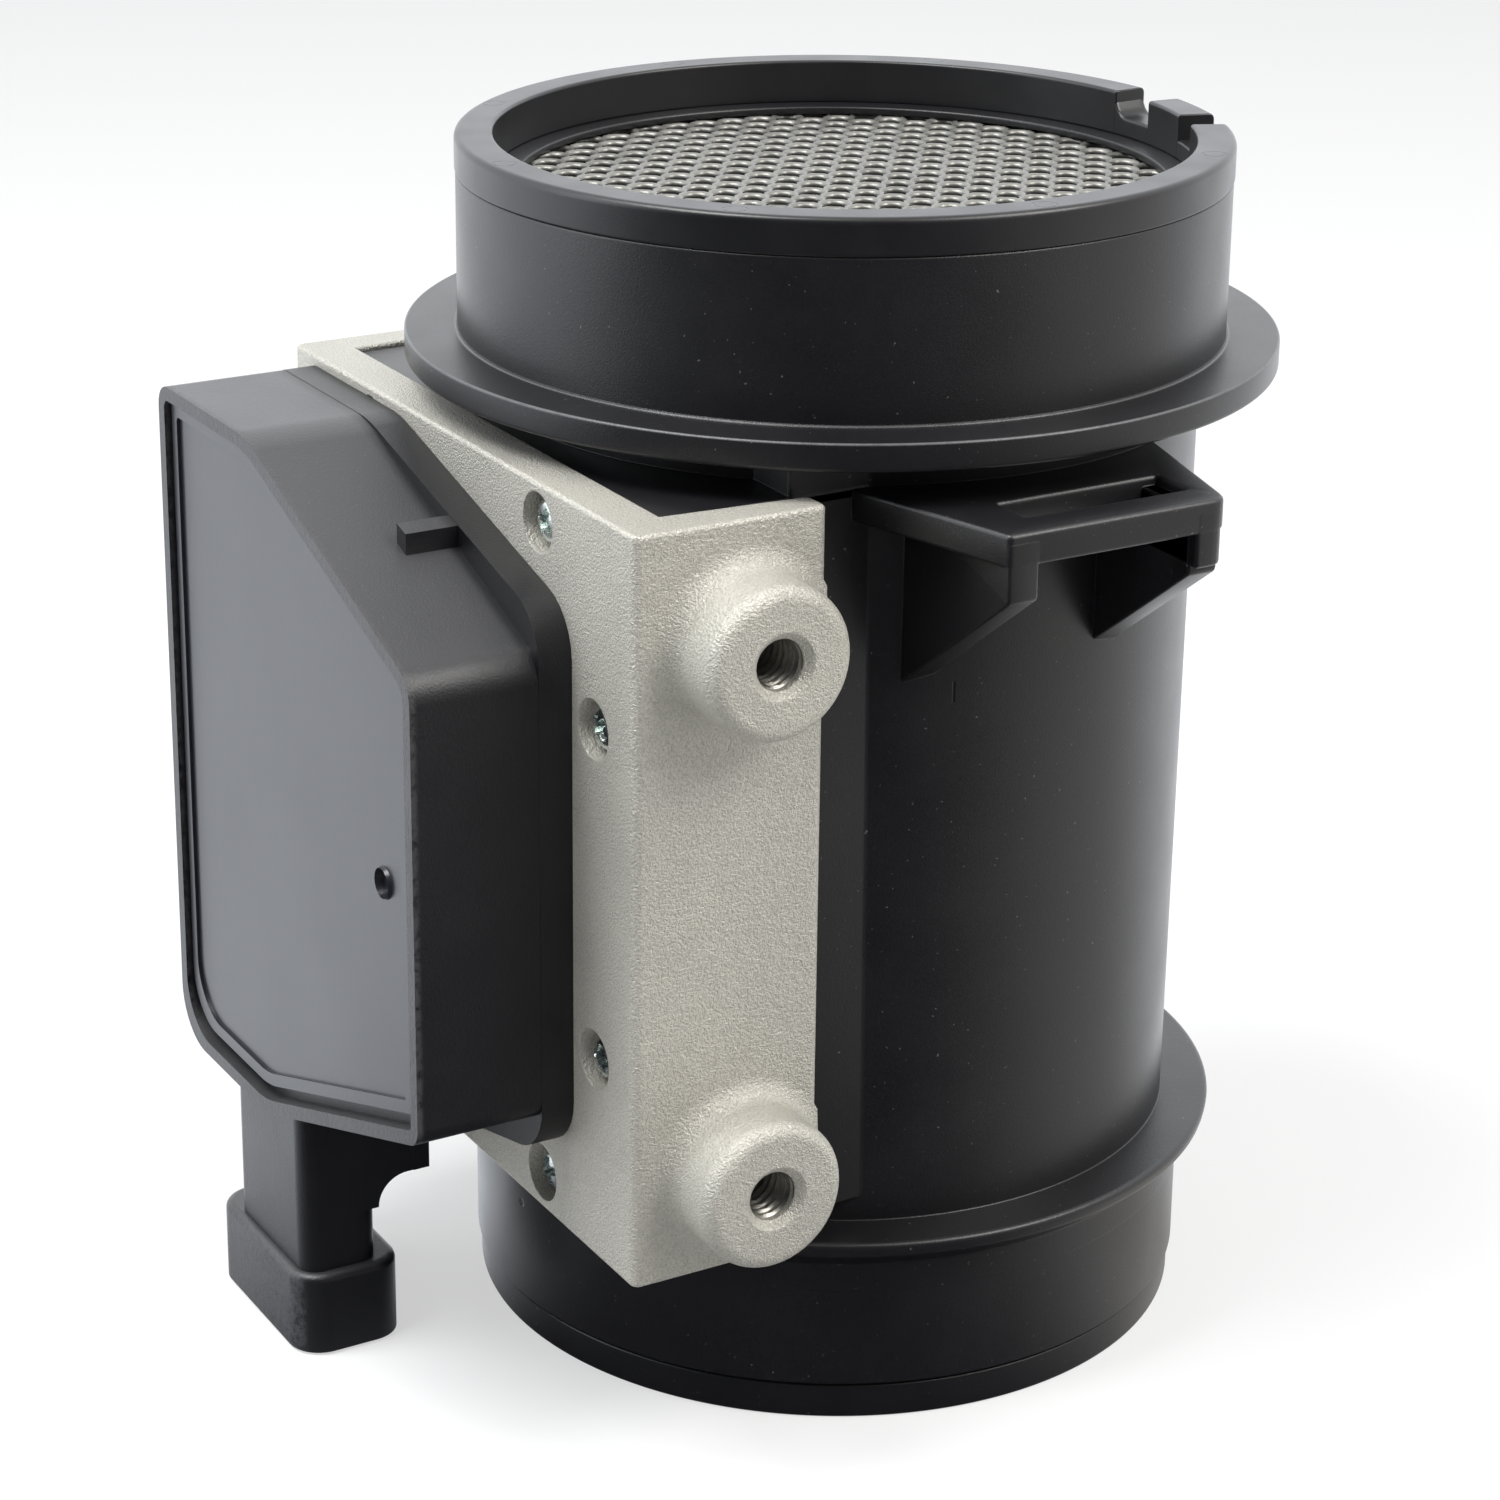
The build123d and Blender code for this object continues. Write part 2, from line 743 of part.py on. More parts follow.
lead_offset = fork_thickness / 2 + lead_thickness / 2

with BuildPart() as thermal_pad:
    with BuildSketch(front_plane(plate_front)):
        add(board_outline(board_gap))
    extrude(amount=pad_thickness)
thermal_pad.part.label = "thermal_pad"
export_step(thermal_pad.part, "parts/thermal_pad.step")

with BuildPart() as circuit_board:
    with BuildSketch(front_plane(plate_front + pad_thickness)):
        add(board_outline(board_gap))
    extrude(amount=board_thickness)
circuit_board.part.label = "circuit_board"
export_step(circuit_board.part, "parts/circuit_board.step")


# Packages on the board: heater driver, signal chip, power transistor and filter capacitors
board_front = plate_front + pad_thickness + board_thickness
packages = {
    "driver_chip": (driver_spot, driver_size, package_height),
    "signal_chip": (signal_spot, signal_size, package_height),
    "power_transistor": (power_spot, power_size, power_height),
}
for package_name, (spot, size, height) in packages.items():
    with BuildPart() as package:
        with BuildSketch(front_plane(board_front)):
            with Locations((spot[0], case_middle + spot[1])):
                Rectangle(*size)
        extrude(amount=height)
        chamfer(package.faces().group_by(Axis.X)[0].edges(), height / 6)
    package.part.label = package_name
    export_step(package.part, "parts/" + package_name + ".step")

with BuildPart() as filter_capacitors:
    with BuildSketch(front_plane(board_front)):
        with Locations((filter_spot[0], case_middle + filter_spot[1])):
            with GridLocations(0, filter_spacing, 1, filter_count):
                Circle(filter_radius)
    extrude(amount=filter_height)
filter_capacitors.part.label = "filter_capacitors"
export_step(filter_capacitors.part, "parts/filter_capacitors.step")


# Terminals: flat blades from the socket through the low wall, turned onto the board
blade_bottom = plug_bottom + blade_setback
blade_end = blade_turn + blade_width
for count, spot in enumerate(blade_spots, start=1):
    with BuildPart() as terminal:
        with BuildSketch(Plane.XZ.offset(-spot - blade_width / 2)):
            with BuildLine():
                Polyline(
                    (blade_line - blade_thickness / 2, blade_bottom),
                    (blade_line + blade_thickness / 2, blade_bottom),
                    (blade_line + blade_thickness / 2, blade_turn - blade_thickness),
                    (-board_front, blade_turn - blade_thickness),
                    (-board_front, blade_end),
                    (-board_front - blade_thickness, blade_end),
                    (-board_front - blade_thickness, blade_turn),
                    (blade_line - blade_thickness / 2, blade_turn),
                    close=True,
                )
            make_face()
        extrude(amount=blade_width)
        chamfer(terminal.faces().group_by(Axis.Z)[0].edges(), blade_thickness / 4)
    terminal.part.label = "terminal_" + str(count)
    export_step(terminal.part, "parts/terminal_" + str(count) + ".step")


# Sensor stem: a moulding that plugs the socket and reaches into the air with a forked blade
plug_radius = socket_radius - slip_gap
lead_spots = [stem_height + (count - (lead_count - 1) / 2) * lead_spacing for count in range(lead_count)]
with BuildPart() as sensor_stem:
    with BuildSketch(front_plane(plate_front)):
        with Locations((0, stem_height)):
            Circle(stem_head_radius)
    extrude(amount=-stem_head_thickness)
    with BuildSketch(front_plane(plate_front - stem_head_thickness)):
        with Locations((0, stem_height)):
            Circle(plug_radius)
    extrude(amount=-(plate_front - stem_head_thickness - plug_end))
    with BuildSketch(front_plane(plug_end)):
        add(blade_outline())
    extrude(amount=-(plug_end - duct_radius + sleeve_wall))
    with BuildSketch(side_plane(-fork_thickness / 2)):
        with Locations(((fork_reach - duct_radius) / 2, stem_height)):
            Rectangle(fork_reach + duct_radius, fork_height)
        for rise in (-window_rise, window_rise):
            with Locations((0, stem_height + rise)):
                Rectangle(window_length, window_height, mode=Mode.SUBTRACT)
    extrude(amount=-fork_thickness)
    with BuildSketch(side_plane(-fork_thickness / 2)):
        for rise in (-window_rise, window_rise):
            with Locations((0, stem_height + rise)):
                Rectangle(film_length + 2 * press_gap, film_height + 2 * press_gap)
    extrude(amount=-film_thickness, mode=Mode.SUBTRACT)
    with BuildSketch(front_plane(ring_groove_front)):
        with Locations((0, stem_height)):
            Circle(plug_radius)
            Circle(socket_radius - ring_section, mode=Mode.SUBTRACT)
    extrude(amount=-ring_section - slip_gap, mode=Mode.SUBTRACT)
    with BuildSketch(front_plane(plate_front)):
        with Locations(*[(lead_offset, spot) for spot in lead_spots]):
            Rectangle(lead_thickness + 2 * press_gap, lead_width + 2 * press_gap)
    extrude(amount=-(plate_front - duct_radius + 2 * sleeve_wall), mode=Mode.SUBTRACT)
sensor_stem.part.label = "sensor_stem"
export_step(sensor_stem.part, "parts/sensor_stem.step")


# Stem seal: a rubber ring in the plug's groove
with BuildPart() as stem_seal:
    ring_middle = ring_groove_front - (ring_section + slip_gap) / 2
    with BuildSketch(Plane(origin=(-ring_middle, 0, stem_height), x_dir=(0, 1, 0), z_dir=(0, 0, 1))):
        with Locations((socket_radius - ring_section / 2, 0)):
            Circle(ring_section / 2 - press_gap)
    revolve(axis=Axis((0, 0, stem_height), (1, 0, 0)))
stem_seal.part.label = "stem_seal"
export_step(stem_seal.part, "parts/stem_seal.step")


# Heated and reference films: ceramic strips set in the fork's two windows
for film_name, rise in (("heated_film", -window_rise), ("reference_film", window_rise)):
    with BuildPart() as film:
        with BuildSketch(side_plane(-fork_thickness / 2)):
            with Locations((0, stem_height + rise)):
                Rectangle(film_length, film_height)
        extrude(amount=-film_thickness)
    film.part.label = film_name
    export_step(film.part, "parts/" + film_name + ".step")


# Lead strips: flat conductors from the board through the stem to the films' ends
with BuildPart() as lead_strips:
    for spot in lead_spots:
        with BuildSketch(Plane.XY.offset(spot - lead_width / 2)):
            with BuildLine():
                Polyline(
                    (-lead_end, -lead_offset + lead_thickness / 2),
                    (-board_front - lead_thickness, -lead_offset + lead_thickness / 2),
                    (-board_front - lead_thickness, -lead_offset - lead_foot),
                    (-board_front, -lead_offset - lead_foot),
                    (-board_front, -lead_offset - lead_thickness / 2),
                    (-lead_end, -lead_offset - lead_thickness / 2),
                    close=True,
                )
            make_face()
        extrude(amount=lead_width)
lead_strips.part.label = "lead_strips"
export_step(lead_strips.part, "parts/lead_strips.step")


# Measuring tube: a short duct on the tube's axis, held by a sleeve that grips the stem's blade
with BuildPart() as measuring_tube:
    duct_bottom = stem_height - duct_height / 2
    with BuildSketch(Plane.XY.offset(duct_bottom)):
        Circle(duct_radius)
    extrude(amount=duct_height)
    with BuildSketch(front_plane(duct_radius + sleeve_length)):
        add(blade_outline(sleeve_wall))
    extrude(amount=-(duct_radius + sleeve_length) / 2)
    with BuildSketch(Plane.XY.offset(duct_bottom)):
        Circle(duct_radius - duct_wall)
    extrude(amount=duct_height, mode=Mode.SUBTRACT)
    with BuildSketch(front_plane(duct_radius + sleeve_length)):
        add(blade_outline(press_gap))
    extrude(amount=-duct_radius, mode=Mode.SUBTRACT)
    lips = measuring_tube.faces().filter_by(Plane.XY).edges().filter_by(GeomType.CIRCLE)
    fillet(lips.group_by(Axis.Z)[0] + lips.group_by(Axis.Z)[-1], lip_radius)
measuring_tube.part.label = "measuring_tube"
export_step(measuring_tube.part, "parts/measuring_tube.step")
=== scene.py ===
"""Mass airflow sensor: the looks of its air tube, cast base, electronics case and screen."""
import math

import bmesh
import bpy
from mathutils import Matrix, Vector, noise


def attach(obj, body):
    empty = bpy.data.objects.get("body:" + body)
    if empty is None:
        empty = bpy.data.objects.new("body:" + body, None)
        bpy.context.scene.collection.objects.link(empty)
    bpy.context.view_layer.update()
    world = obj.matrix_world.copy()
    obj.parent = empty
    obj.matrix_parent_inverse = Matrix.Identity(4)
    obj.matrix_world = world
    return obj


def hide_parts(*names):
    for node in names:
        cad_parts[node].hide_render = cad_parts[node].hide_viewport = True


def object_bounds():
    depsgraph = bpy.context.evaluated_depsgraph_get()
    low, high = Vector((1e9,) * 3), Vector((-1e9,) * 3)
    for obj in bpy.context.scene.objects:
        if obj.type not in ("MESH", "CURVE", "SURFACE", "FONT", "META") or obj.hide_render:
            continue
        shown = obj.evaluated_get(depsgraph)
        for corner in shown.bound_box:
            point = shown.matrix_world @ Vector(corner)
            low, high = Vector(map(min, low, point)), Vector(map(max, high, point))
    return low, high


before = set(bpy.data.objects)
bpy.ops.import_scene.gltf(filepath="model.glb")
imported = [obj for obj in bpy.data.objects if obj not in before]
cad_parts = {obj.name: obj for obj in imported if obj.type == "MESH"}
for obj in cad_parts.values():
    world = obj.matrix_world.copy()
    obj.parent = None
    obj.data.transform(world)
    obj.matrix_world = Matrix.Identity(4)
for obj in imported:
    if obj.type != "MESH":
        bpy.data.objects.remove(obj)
cad_low, cad_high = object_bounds()
mm = 0.001

# The camera looks at the sensor from the left of the bosses' side and a little from above.
# Its long lens stands about 0.4 m off, so the tube's upright sides stay nearly parallel.
eye = Vector((-0.20255, -0.32613, 0.20911))
camera_yaw = math.radians(29.212)
camera_pitch = math.radians(18.926)
camera_roll = math.radians(0.242)
camera_data = bpy.data.cameras.new("camera")
camera_data.lens = 91.02
camera_data.sensor_width = 36
camera_data.shift_x = 0.0533
camera_data.shift_y = -0.1067
camera_data.clip_start = 0.01
camera_data.clip_end = 20
camera = bpy.data.objects.new("camera", camera_data)
turned = Matrix.Rotation(-camera_yaw, 4, "Z") @ Matrix.Rotation(math.pi / 2 - camera_pitch, 4, "X")
camera.matrix_world = Matrix.Translation(eye) @ turned @ Matrix.Rotation(camera_roll, 4, "Z")
bpy.context.collection.objects.link(camera)
bpy.context.scene.camera = camera
bpy.context.scene.view_settings.view_transform = "Standard"


class Wire:
    """One output in a node tree. Python's operators on it add Math nodes behind it."""

    def __init__(self, finish, socket):
        self.finish = finish
        self.socket = socket

    def math(self, operation, *others):
        values = dict(enumerate((self, *others)))
        return self.finish.add("ShaderNodeMath", {"operation": operation}, values)

    def __add__(self, other):
        return self.math("ADD", other)

    def __sub__(self, other):
        return self.math("SUBTRACT", other)

    def __rsub__(self, other):
        return self.finish.add("ShaderNodeMath", {"operation": "SUBTRACT"}, {0: other, 1: self})

    def __mul__(self, other):
        return self.math("MULTIPLY", other)

    def __truediv__(self, other):
        return self.math("DIVIDE", other)

    def __pow__(self, other):
        return self.math("POWER", other)

    def __lt__(self, other):
        return self.math("LESS_THAN", other)

    def __gt__(self, other):
        return self.math("GREATER_THAN", other)

    def __abs__(self):
        return self.math("ABSOLUTE")

    __radd__ = __add__
    __rmul__ = __mul__


class Finish:
    """A node tree of a material, lamp or the world, with one method that adds any node."""

    def __init__(self, tree):
        self.tree = tree
        self.tree.nodes.clear()

    def add(self, kind, settings=None, values=None, out=0):
        node = self.tree.nodes.new(kind)
        for key, value in (settings or {}).items():
            if key == "stops":
                ramp = node.color_ramp
                while len(ramp.elements) < len(value):
                    ramp.elements.new(0.5)
                for element, (place, shade) in zip(ramp.elements, value):
                    element.position = place
                    element.color = (*shade, 1)
            else:
                setattr(node, key, value)
        for key, value in (values or {}).items():
            if isinstance(value, Wire):
                self.tree.links.new(value.socket, node.inputs[key])
            else:
                node.inputs[key].default_value = value
        return Wire(self, node.outputs[out]) if node.outputs else node

    def blend(self, share, first, second):
        colours = [value if isinstance(value, Wire) else (*value, 1) for value in (first, second)]
        values = {0: share, 6: colours[0], 7: colours[1]}
        return self.add("ShaderNodeMix", {"data_type": "RGBA"}, values, out=2)

    def grain(self, size, detail=3.0, roughness=0.5, at=None):
        where = at or self.place
        values = {"Vector": where, "Scale": 1 / size, "Detail": detail, "Roughness": roughness}
        return self.add("ShaderNodeTexNoise", {}, values)

    def ramp(self, value, low, high, start=0.0, end=1.0):
        values = {0: value, 1: low, 2: high, 3: start, 4: end}
        return self.add("ShaderNodeMapRange", {"interpolation_type": "SMOOTHSTEP"}, values)

    def part(self, vector, axis):
        return self.add("ShaderNodeSeparateXYZ", {}, {0: vector}, out=axis)

    def vector_math(self, operation, first, second, out="Value"):
        settings = {"operation": operation}
        return self.add("ShaderNodeVectorMath", settings, {0: first, 1: second}, out)


# The studio: a tent of white cloth, darkest behind the camera and brightest across from it and to
# the left, with three soft lamps. The sensor stands on a plain pale table, which keeps its shadow
# and, to glossy rays, glows with a painted reflection of the tent.
to_camera = Vector((eye.x, eye.y, 0)).normalized()
to_left = Vector((to_camera.y, -to_camera.x, 0))
dark_turn = math.radians(13)
dark_way = to_camera * math.cos(dark_turn) + to_left * math.sin(dark_turn)
room_white = (1.0, 1.0, 1.0)
tent_front = (0.06, 0.06, 0.075)
tent_side = (0.95, 0.93, 0.90)
tent_left = (1.75, 1.82, 1.92)
tent_back = (1.75, 1.80, 1.86)
fill = (0.46, 0.47, 0.49)


def tent(finish, heading):
    """The cloth's tone as a reflection meets it in a level heading."""
    facing = finish.vector_math("DOT_PRODUCT", heading, dark_way)
    leftward = finish.vector_math("DOT_PRODUCT", heading, to_left)
    sides = finish.blend(finish.ramp(leftward, 0.2, 0.9), tent_side, tent_left)
    rear = finish.blend(finish.ramp(facing, -0.15, -0.9), sides, tent_back)
    return finish.blend(finish.ramp(facing, 0.0, 0.85), rear, tent_front)


world = bpy.data.worlds.new("studio")
bpy.context.scene.world = world
world.use_nodes = True
air = Finish(world.node_tree)
seen = air.add("ShaderNodeLightPath", out="Is Camera Ray")
mirrored = air.add("ShaderNodeLightPath", out="Is Glossy Ray")
lit = air.blend(mirrored, fill, tent(air, air.add("ShaderNodeTexCoord", out="Generated")))
air.add(
    "ShaderNodeOutputWorld",
    {},
    {"Surface": air.add("ShaderNodeBackground", {}, {"Color": air.blend(seen, lit, room_white)})},
)


def lamp(name, place, aim, width, height, power, colour):
    """A soft box of a width and height that looks from its place at its aim."""
    data = bpy.data.lights.new(name, "AREA")
    data.shape = "RECTANGLE"
    data.size = width
    data.size_y = height
    data.energy = power
    data.color = colour
    box = bpy.data.objects.new(name, data)
    box.location = place
    box.rotation_mode = "QUATERNION"
    box.rotation_quaternion = (Vector(aim) - Vector(place)).to_track_quat("-Z", "Y")
    bpy.context.collection.objects.link(box)


middle = (cad_low + cad_high) / 2
lamp("key_lamp", (0.35, -0.55, 0.75), middle, 0.5, 0.5, 7.5, (1.0, 0.985, 0.95))
lamp("cool_lamp", (-0.75, 0.25, 0.35), middle, 0.35, 0.7, 2.2, (0.9, 0.96, 1.0))
lamp("top_lamp", (-0.38, 0.02, 0.8), middle, 0.4, 0.4, 7.0, (1.0, 1.0, 1.0))

table_half = 3.0
table_mesh = bpy.data.meshes.new("table_top")
table_mesh.from_pydata(
    [(x, y, cad_low.z) for x, y in ((-1, -1), (1, -1), (1, 1), (-1, 1))],
    [],
    [(0, 1, 2, 3)],
)
table_mesh.transform(Matrix.Diagonal((table_half, table_half, 1, 1)))
table_top = bpy.data.objects.new("table_top", table_mesh)
bpy.context.collection.objects.link(table_top)
table_white = bpy.data.materials.new("table_white")
table_white.use_nodes = True
paper = Finish(table_white.node_tree)
glow_share = 0.55
paper_lit = paper.add("ShaderNodeBsdfDiffuse", {}, {"Color": (0.86, 0.86, 0.86, 1)})
paper_glow = paper.add("ShaderNodeEmission", {}, {"Color": (1, 1, 1, 1), "Strength": 1.0})
paper_seen = paper.add("ShaderNodeLightPath", out="Is Camera Ray")
paper_mix = paper.add(
    "ShaderNodeMixShader", {}, {0: paper_seen * glow_share, 1: paper_lit, 2: paper_glow}
)
paper_place = paper.add("ShaderNodeTexCoord", out="Object")
paper_way = paper.vector_math("NORMALIZE", paper_place, (0, 0, 0), "Vector")
# To glossy rays the table glows with the tent's tones: a painted reflection of the room, dark
# towards the camera.
paper_painted_reflection = paper.add("ShaderNodeEmission", {}, {"Color": tent(paper, paper_way)})
paper_mirrored = paper.add("ShaderNodeLightPath", out="Is Glossy Ray")
paper_whole = paper.add(
    "ShaderNodeMixShader", {}, {0: paper_mirrored, 1: paper_mix, 2: paper_painted_reflection}
)
paper.add("ShaderNodeOutputMaterial", {}, {"Surface": paper_whole})
table_mesh.materials.append(table_white)


# The tube housing is one injection moulding in black glass-filled polyester, the largest piece.
# Its flange, collar, seat and clip bracket carry everything else, and its surface is a fine matt.
def soften(outline):
    """Rounds the corners of a closed outline of (u, v, radius) points, in metres."""
    rounded = []
    for index, (u, v, radius) in enumerate(outline):
        corner = Vector((u, v))
        before = Vector(outline[index - 1][:2]) - corner
        after = Vector(outline[(index + 1) % len(outline)][:2]) - corner
        turn = math.pi - before.angle(after, math.pi)
        if radius == 0 or turn < 1e-3:
            rounded.append(corner)
            continue
        setback = min(radius * math.tan(turn / 2), before.length * 0.49, after.length * 0.49)
        first = corner + before.normalized() * setback
        last = corner + after.normalized() * setback
        steps = max(2, math.ceil(turn / math.radians(18)))
        for step in range(steps + 1):
            share = step / steps
            rounded.append(first.lerp(corner, share).lerp(corner.lerp(last, share), share))
    return rounded


def bridge(mesh, rings):
    """Adds the faces between each closed ring of vertices and the next."""
    for near, far in zip(rings, rings[1:]):
        for index in range(len(near)):
            mesh.faces.new((near[index - 1], near[index], far[index], far[index - 1]))


def turned_ring(mesh, outline, count=256, start=0.0, sweep=2 * math.pi):
    """Adds a closed outline of (radius, height, rounding) turned about the tube's axis."""
    whole = sweep > 2 * math.pi - 1e-6
    places = soften(outline)
    columns = []
    for step in range(count if whole else count + 1):
        angle = start + sweep * step / count
        spin = Vector((math.cos(angle), math.sin(angle)))
        columns.append([mesh.verts.new((spin.x * r, spin.y * r, z)) for r, z in places])
    bridge(mesh, columns + columns[:1] if whole else columns)
    if not whole:
        mesh.faces.new(columns[0])
        mesh.faces.new(reversed(columns[-1]))


def inset(outline, amount):
    """Moves the points of a closed outline inward, or outward by a negative amount."""
    area = sum(p.x * q.y - p.y * q.x for p, q in zip(outline, outline[1:] + outline[:1]))
    side = math.copysign(1, area)
    moved = []
    for index, point in enumerate(outline):
        before = (point - outline[index - 1]).normalized()
        after = (outline[(index + 1) % len(outline)] - point).normalized()
        inward = Vector((-before.y, before.x)) + Vector((-after.y, after.x))
        moved.append(point + inward * (side * amount / max(0.2, 1 + before.dot(after))))
    return moved


def slab(mesh, outline, place, along, edge=0.0, hole=None, steps=3):
    """Adds a closed outline of (u, v, rounding), with or without a hole, pushed along a vector.

    The rims of both faces are rounded by the edge, and the faces lie at 0 and 1 of the vector.
    """
    thickness = along.length
    ends = []
    for loop, sign in ((outline, 1), (hole, -1)):
        if not loop:
            continue
        points = soften(loop)
        levels = [(0.0, 0.0)]
        if edge:
            turns = [step / steps * math.pi / 2 for step in range(steps + 1)]
            levels = [(edge * (1 - math.cos(turn)), edge * (1 - math.sin(turn))) for turn in turns]
        levels += [(thickness - rise, back) for rise, back in reversed(levels)]
        rings = []
        for rise, back in levels:
            moved = inset(points, sign * back) if back else points
            step_up = along * (rise / thickness)
            rings.append([mesh.verts.new(place(*point) + step_up) for point in moved])
        bridge(mesh, rings)
        ends.append((rings[0], rings[-1]))
    for caps in zip(*ends):
        if len(caps) == 1:
            mesh.faces.new(caps[0])
            continue
        pairs = [(cap[index - 1], cap[index]) for cap in caps for index in range(len(cap))]
        rims = [mesh.edges.get(pair) for pair in pairs]
        bmesh.ops.triangle_fill(mesh, edges=rims, use_beauty=True)


def piece(name, mesh, material, slot, *nodes, edge=0.0, smooth=30):
    """Makes an object of a mesh, rounds its sharp edges and lets it stand for CAD nodes."""
    bmesh.ops.recalc_face_normals(mesh, faces=mesh.faces)
    data = bpy.data.meshes.new(name)
    mesh.to_mesh(data)
    mesh.free()
    made = bpy.data.objects.new(name, data)
    bpy.context.collection.objects.link(made)
    data.materials.append(material)
    if edge:
        rounding = made.modifiers.new("rounded_edges", "BEVEL")
        rounding.width = edge
        rounding.segments = 3
        rounding.limit_method = "ANGLE"
        rounding.angle_limit = math.radians(35)
        made.modifiers.new("even_faces", "WEIGHTED_NORMAL").keep_sharp = True
    data.shade_smooth()
    data.set_sharp_from_angle(angle=math.radians(smooth))
    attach(made, "root")
    if nodes:
        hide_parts(*nodes)
    return made


def material(name):
    """A new material, and its empty finish with the piece's own coordinates in metres."""
    made = bpy.data.materials.new(name)
    made.use_nodes = True
    finish = Finish(made.node_tree)
    finish.place = finish.add("ShaderNodeTexCoord", out="Object")
    return made, finish


def surface(finish, values, bump=None, depth=0.0, rounding=0.0, glow=None):
    """Ends a finish in one Principled shader, with its fine relief over softly rounded edges."""
    if rounding:
        values["Normal"] = finish.add("ShaderNodeBevel", {"samples": 6}, {"Radius": rounding})
    if bump:
        relief = {"Height": bump, "Distance": depth}
        if rounding:
            relief["Normal"] = values["Normal"]
        values["Normal"] = finish.add("ShaderNodeBump", {}, relief)
    shader = finish.add("ShaderNodeBsdfPrincipled", {}, values)
    finish.add("ShaderNodeOutputMaterial", {}, {"Surface": shader})


def moulded(name, dark, pale, gloss, rounding=0.0, greyed_edges=None, sunk=None):
    """Matt moulded plastic: grain, cloudy sheen, sparse dust, painted highlight lines and sunk
    marks in painted shade.
    """
    made, finish = material(name)
    cloud = finish.grain(9 * mm, 4)
    dust = finish.ramp(finish.grain(0.42 * mm, 1), 0.74, 0.82)
    tone = finish.blend(cloud + (finish.grain(0.3 * mm, 2) - 0.5) * 0.8, dark, pale)
    tone = finish.blend(dust * 0.7, tone, (0.11, 0.11, 0.11))
    # Grey edge lines, where given, are painted highlights.
    if greyed_edges:
        tone = finish.blend(greyed_edges(finish), tone, (0.15, 0.15, 0.155))
    relief = finish.grain(0.22 * mm, 3, 0.6)
    # Sunk marks are painted near black: painted shade in the sink, a dark line along the parting
    # line.
    if sunk:
        sunk_and_shaded = sunk(finish)
        tone = finish.blend(sunk_and_shaded, tone, (0.0005, 0.0005, 0.0005))
        relief = relief - sunk_and_shaded * 8
    surface(
        finish,
        {"Base Color": tone, "Roughness": gloss + (cloud - 0.5) * 0.12, "IOR": 1.52},
        bump=relief,
        depth=0.02 * mm,
        rounding=rounding,
    )
    return made


def flange_highlight_lines(finish):
    """Painted highlight: a thin grey line all round the flange's edge and the spigot's foot."""
    x, y, z = [finish.part(finish.place, axis) for axis in "XYZ"]
    radius = (x * x + y * y) ** 0.5
    high = finish.ramp(z, flange_top - 0.26 * mm, flange_top - 0.1 * mm)
    edge = high * finish.ramp(radius, flange_radius - 0.28 * mm, flange_radius - 0.14 * mm)
    bead = (z > flange_top + 0.03 * mm) * (z < flange_top + 0.3 * mm)
    bead = bead * (radius > inlet_radius + 0.04 * mm)
    patchy = finish.ramp(finish.grain(1.5 * mm, 3), 0.2, 0.5, 0.5, 1.0)
    return (edge * 0.5 + bead * 0.3) * patchy


def mould_marks(finish):
    """A small round sink on the outlet spigot, painted dark as shade, and a short parting line
    under the clip bracket.
    """
    sink = (-38.97 * mm, -1.6 * mm, 15.2 * mm)
    line_x = -8.64 * mm
    line_low = 78.4 * mm
    line_high = 80.6 * mm
    line_front = -36 * mm
    x, y, z = [finish.part(finish.place, axis) for axis in "XYZ"]
    gap = finish.vector_math("DISTANCE", finish.place, sink)
    across = finish.ramp(abs(x - line_x), 0.08 * mm, 0.16 * mm, 1.0, 0.0)
    along = (z > line_low) * (z < line_high) * (y < line_front)
    return finish.ramp(gap, 0.35 * mm, 0.5 * mm, 1.0, 0.0).math("MAXIMUM", across * along)


bore_radius = 34.4 * mm
foot_radius = 38.6 * mm
outlet_radius = 39.0 * mm
outlet_mouth_radius = 36.6 * mm
barrel_foot_radius = 37.0 * mm
barrel_head_radius = 37.4 * mm
flange_radius = 45.4 * mm
flange_bottom = 104.7 * mm
flange_top = 107.6 * mm
inlet_radius = 39.9 * mm
joint_height = 124.0 * mm
ring_seat_radius = 37.2 * mm
screen_seat = 121.4 * mm
foot_line = 3.7 * mm
collar_bottom = 18.4 * mm
collar_top = 22.1 * mm
housing_plastic = moulded(
    "housing_plastic",
    (0.0038, 0.0038, 0.0050),
    (0.0085, 0.0082, 0.0095),
    gloss=0.38,
    rounding=0.2 * mm,
    greyed_edges=flange_highlight_lines,
    sunk=mould_marks,
)

tube = bmesh.new()
turned_ring(
    tube,
    [
        (outlet_mouth_radius, 0, 0.4 * mm),
        (foot_radius, 0, 0.5 * mm),
        (foot_radius, foot_line, 0.15 * mm),
        (foot_radius - 0.3 * mm, foot_line + 0.1 * mm, 0),
        (foot_radius - 0.3 * mm, foot_line + 0.4 * mm, 0),
        (outlet_radius, foot_line + 0.5 * mm, 0.2 * mm),
        (outlet_radius, collar_bottom, 0.4 * mm),
        (barrel_foot_radius, collar_top - 1.2 * mm, 0.4 * mm),
        (barrel_head_radius, flange_bottom, 0.9 * mm),
        (flange_radius, flange_bottom, 0.5 * mm),
        (flange_radius, flange_top, 0.3 * mm),
        (inlet_radius + 0.35 * mm, flange_top, 0),
        (inlet_radius + 0.28 * mm, flange_top + 0.14 * mm, 0.05 * mm),
        (inlet_radius + 0.1 * mm, flange_top + 0.16 * mm, 0.05 * mm),
        (inlet_radius, flange_top + 0.1 * mm, 0),
        (inlet_radius, joint_height, 0.25 * mm),
        (ring_seat_radius, joint_height, 0),
        (ring_seat_radius, screen_seat, 0),
        (bore_radius, screen_seat, 0.2 * mm),
        (bore_radius, 13 * mm, 2 * mm),
        (outlet_mouth_radius, 9 * mm, 2 * mm),
    ],
)

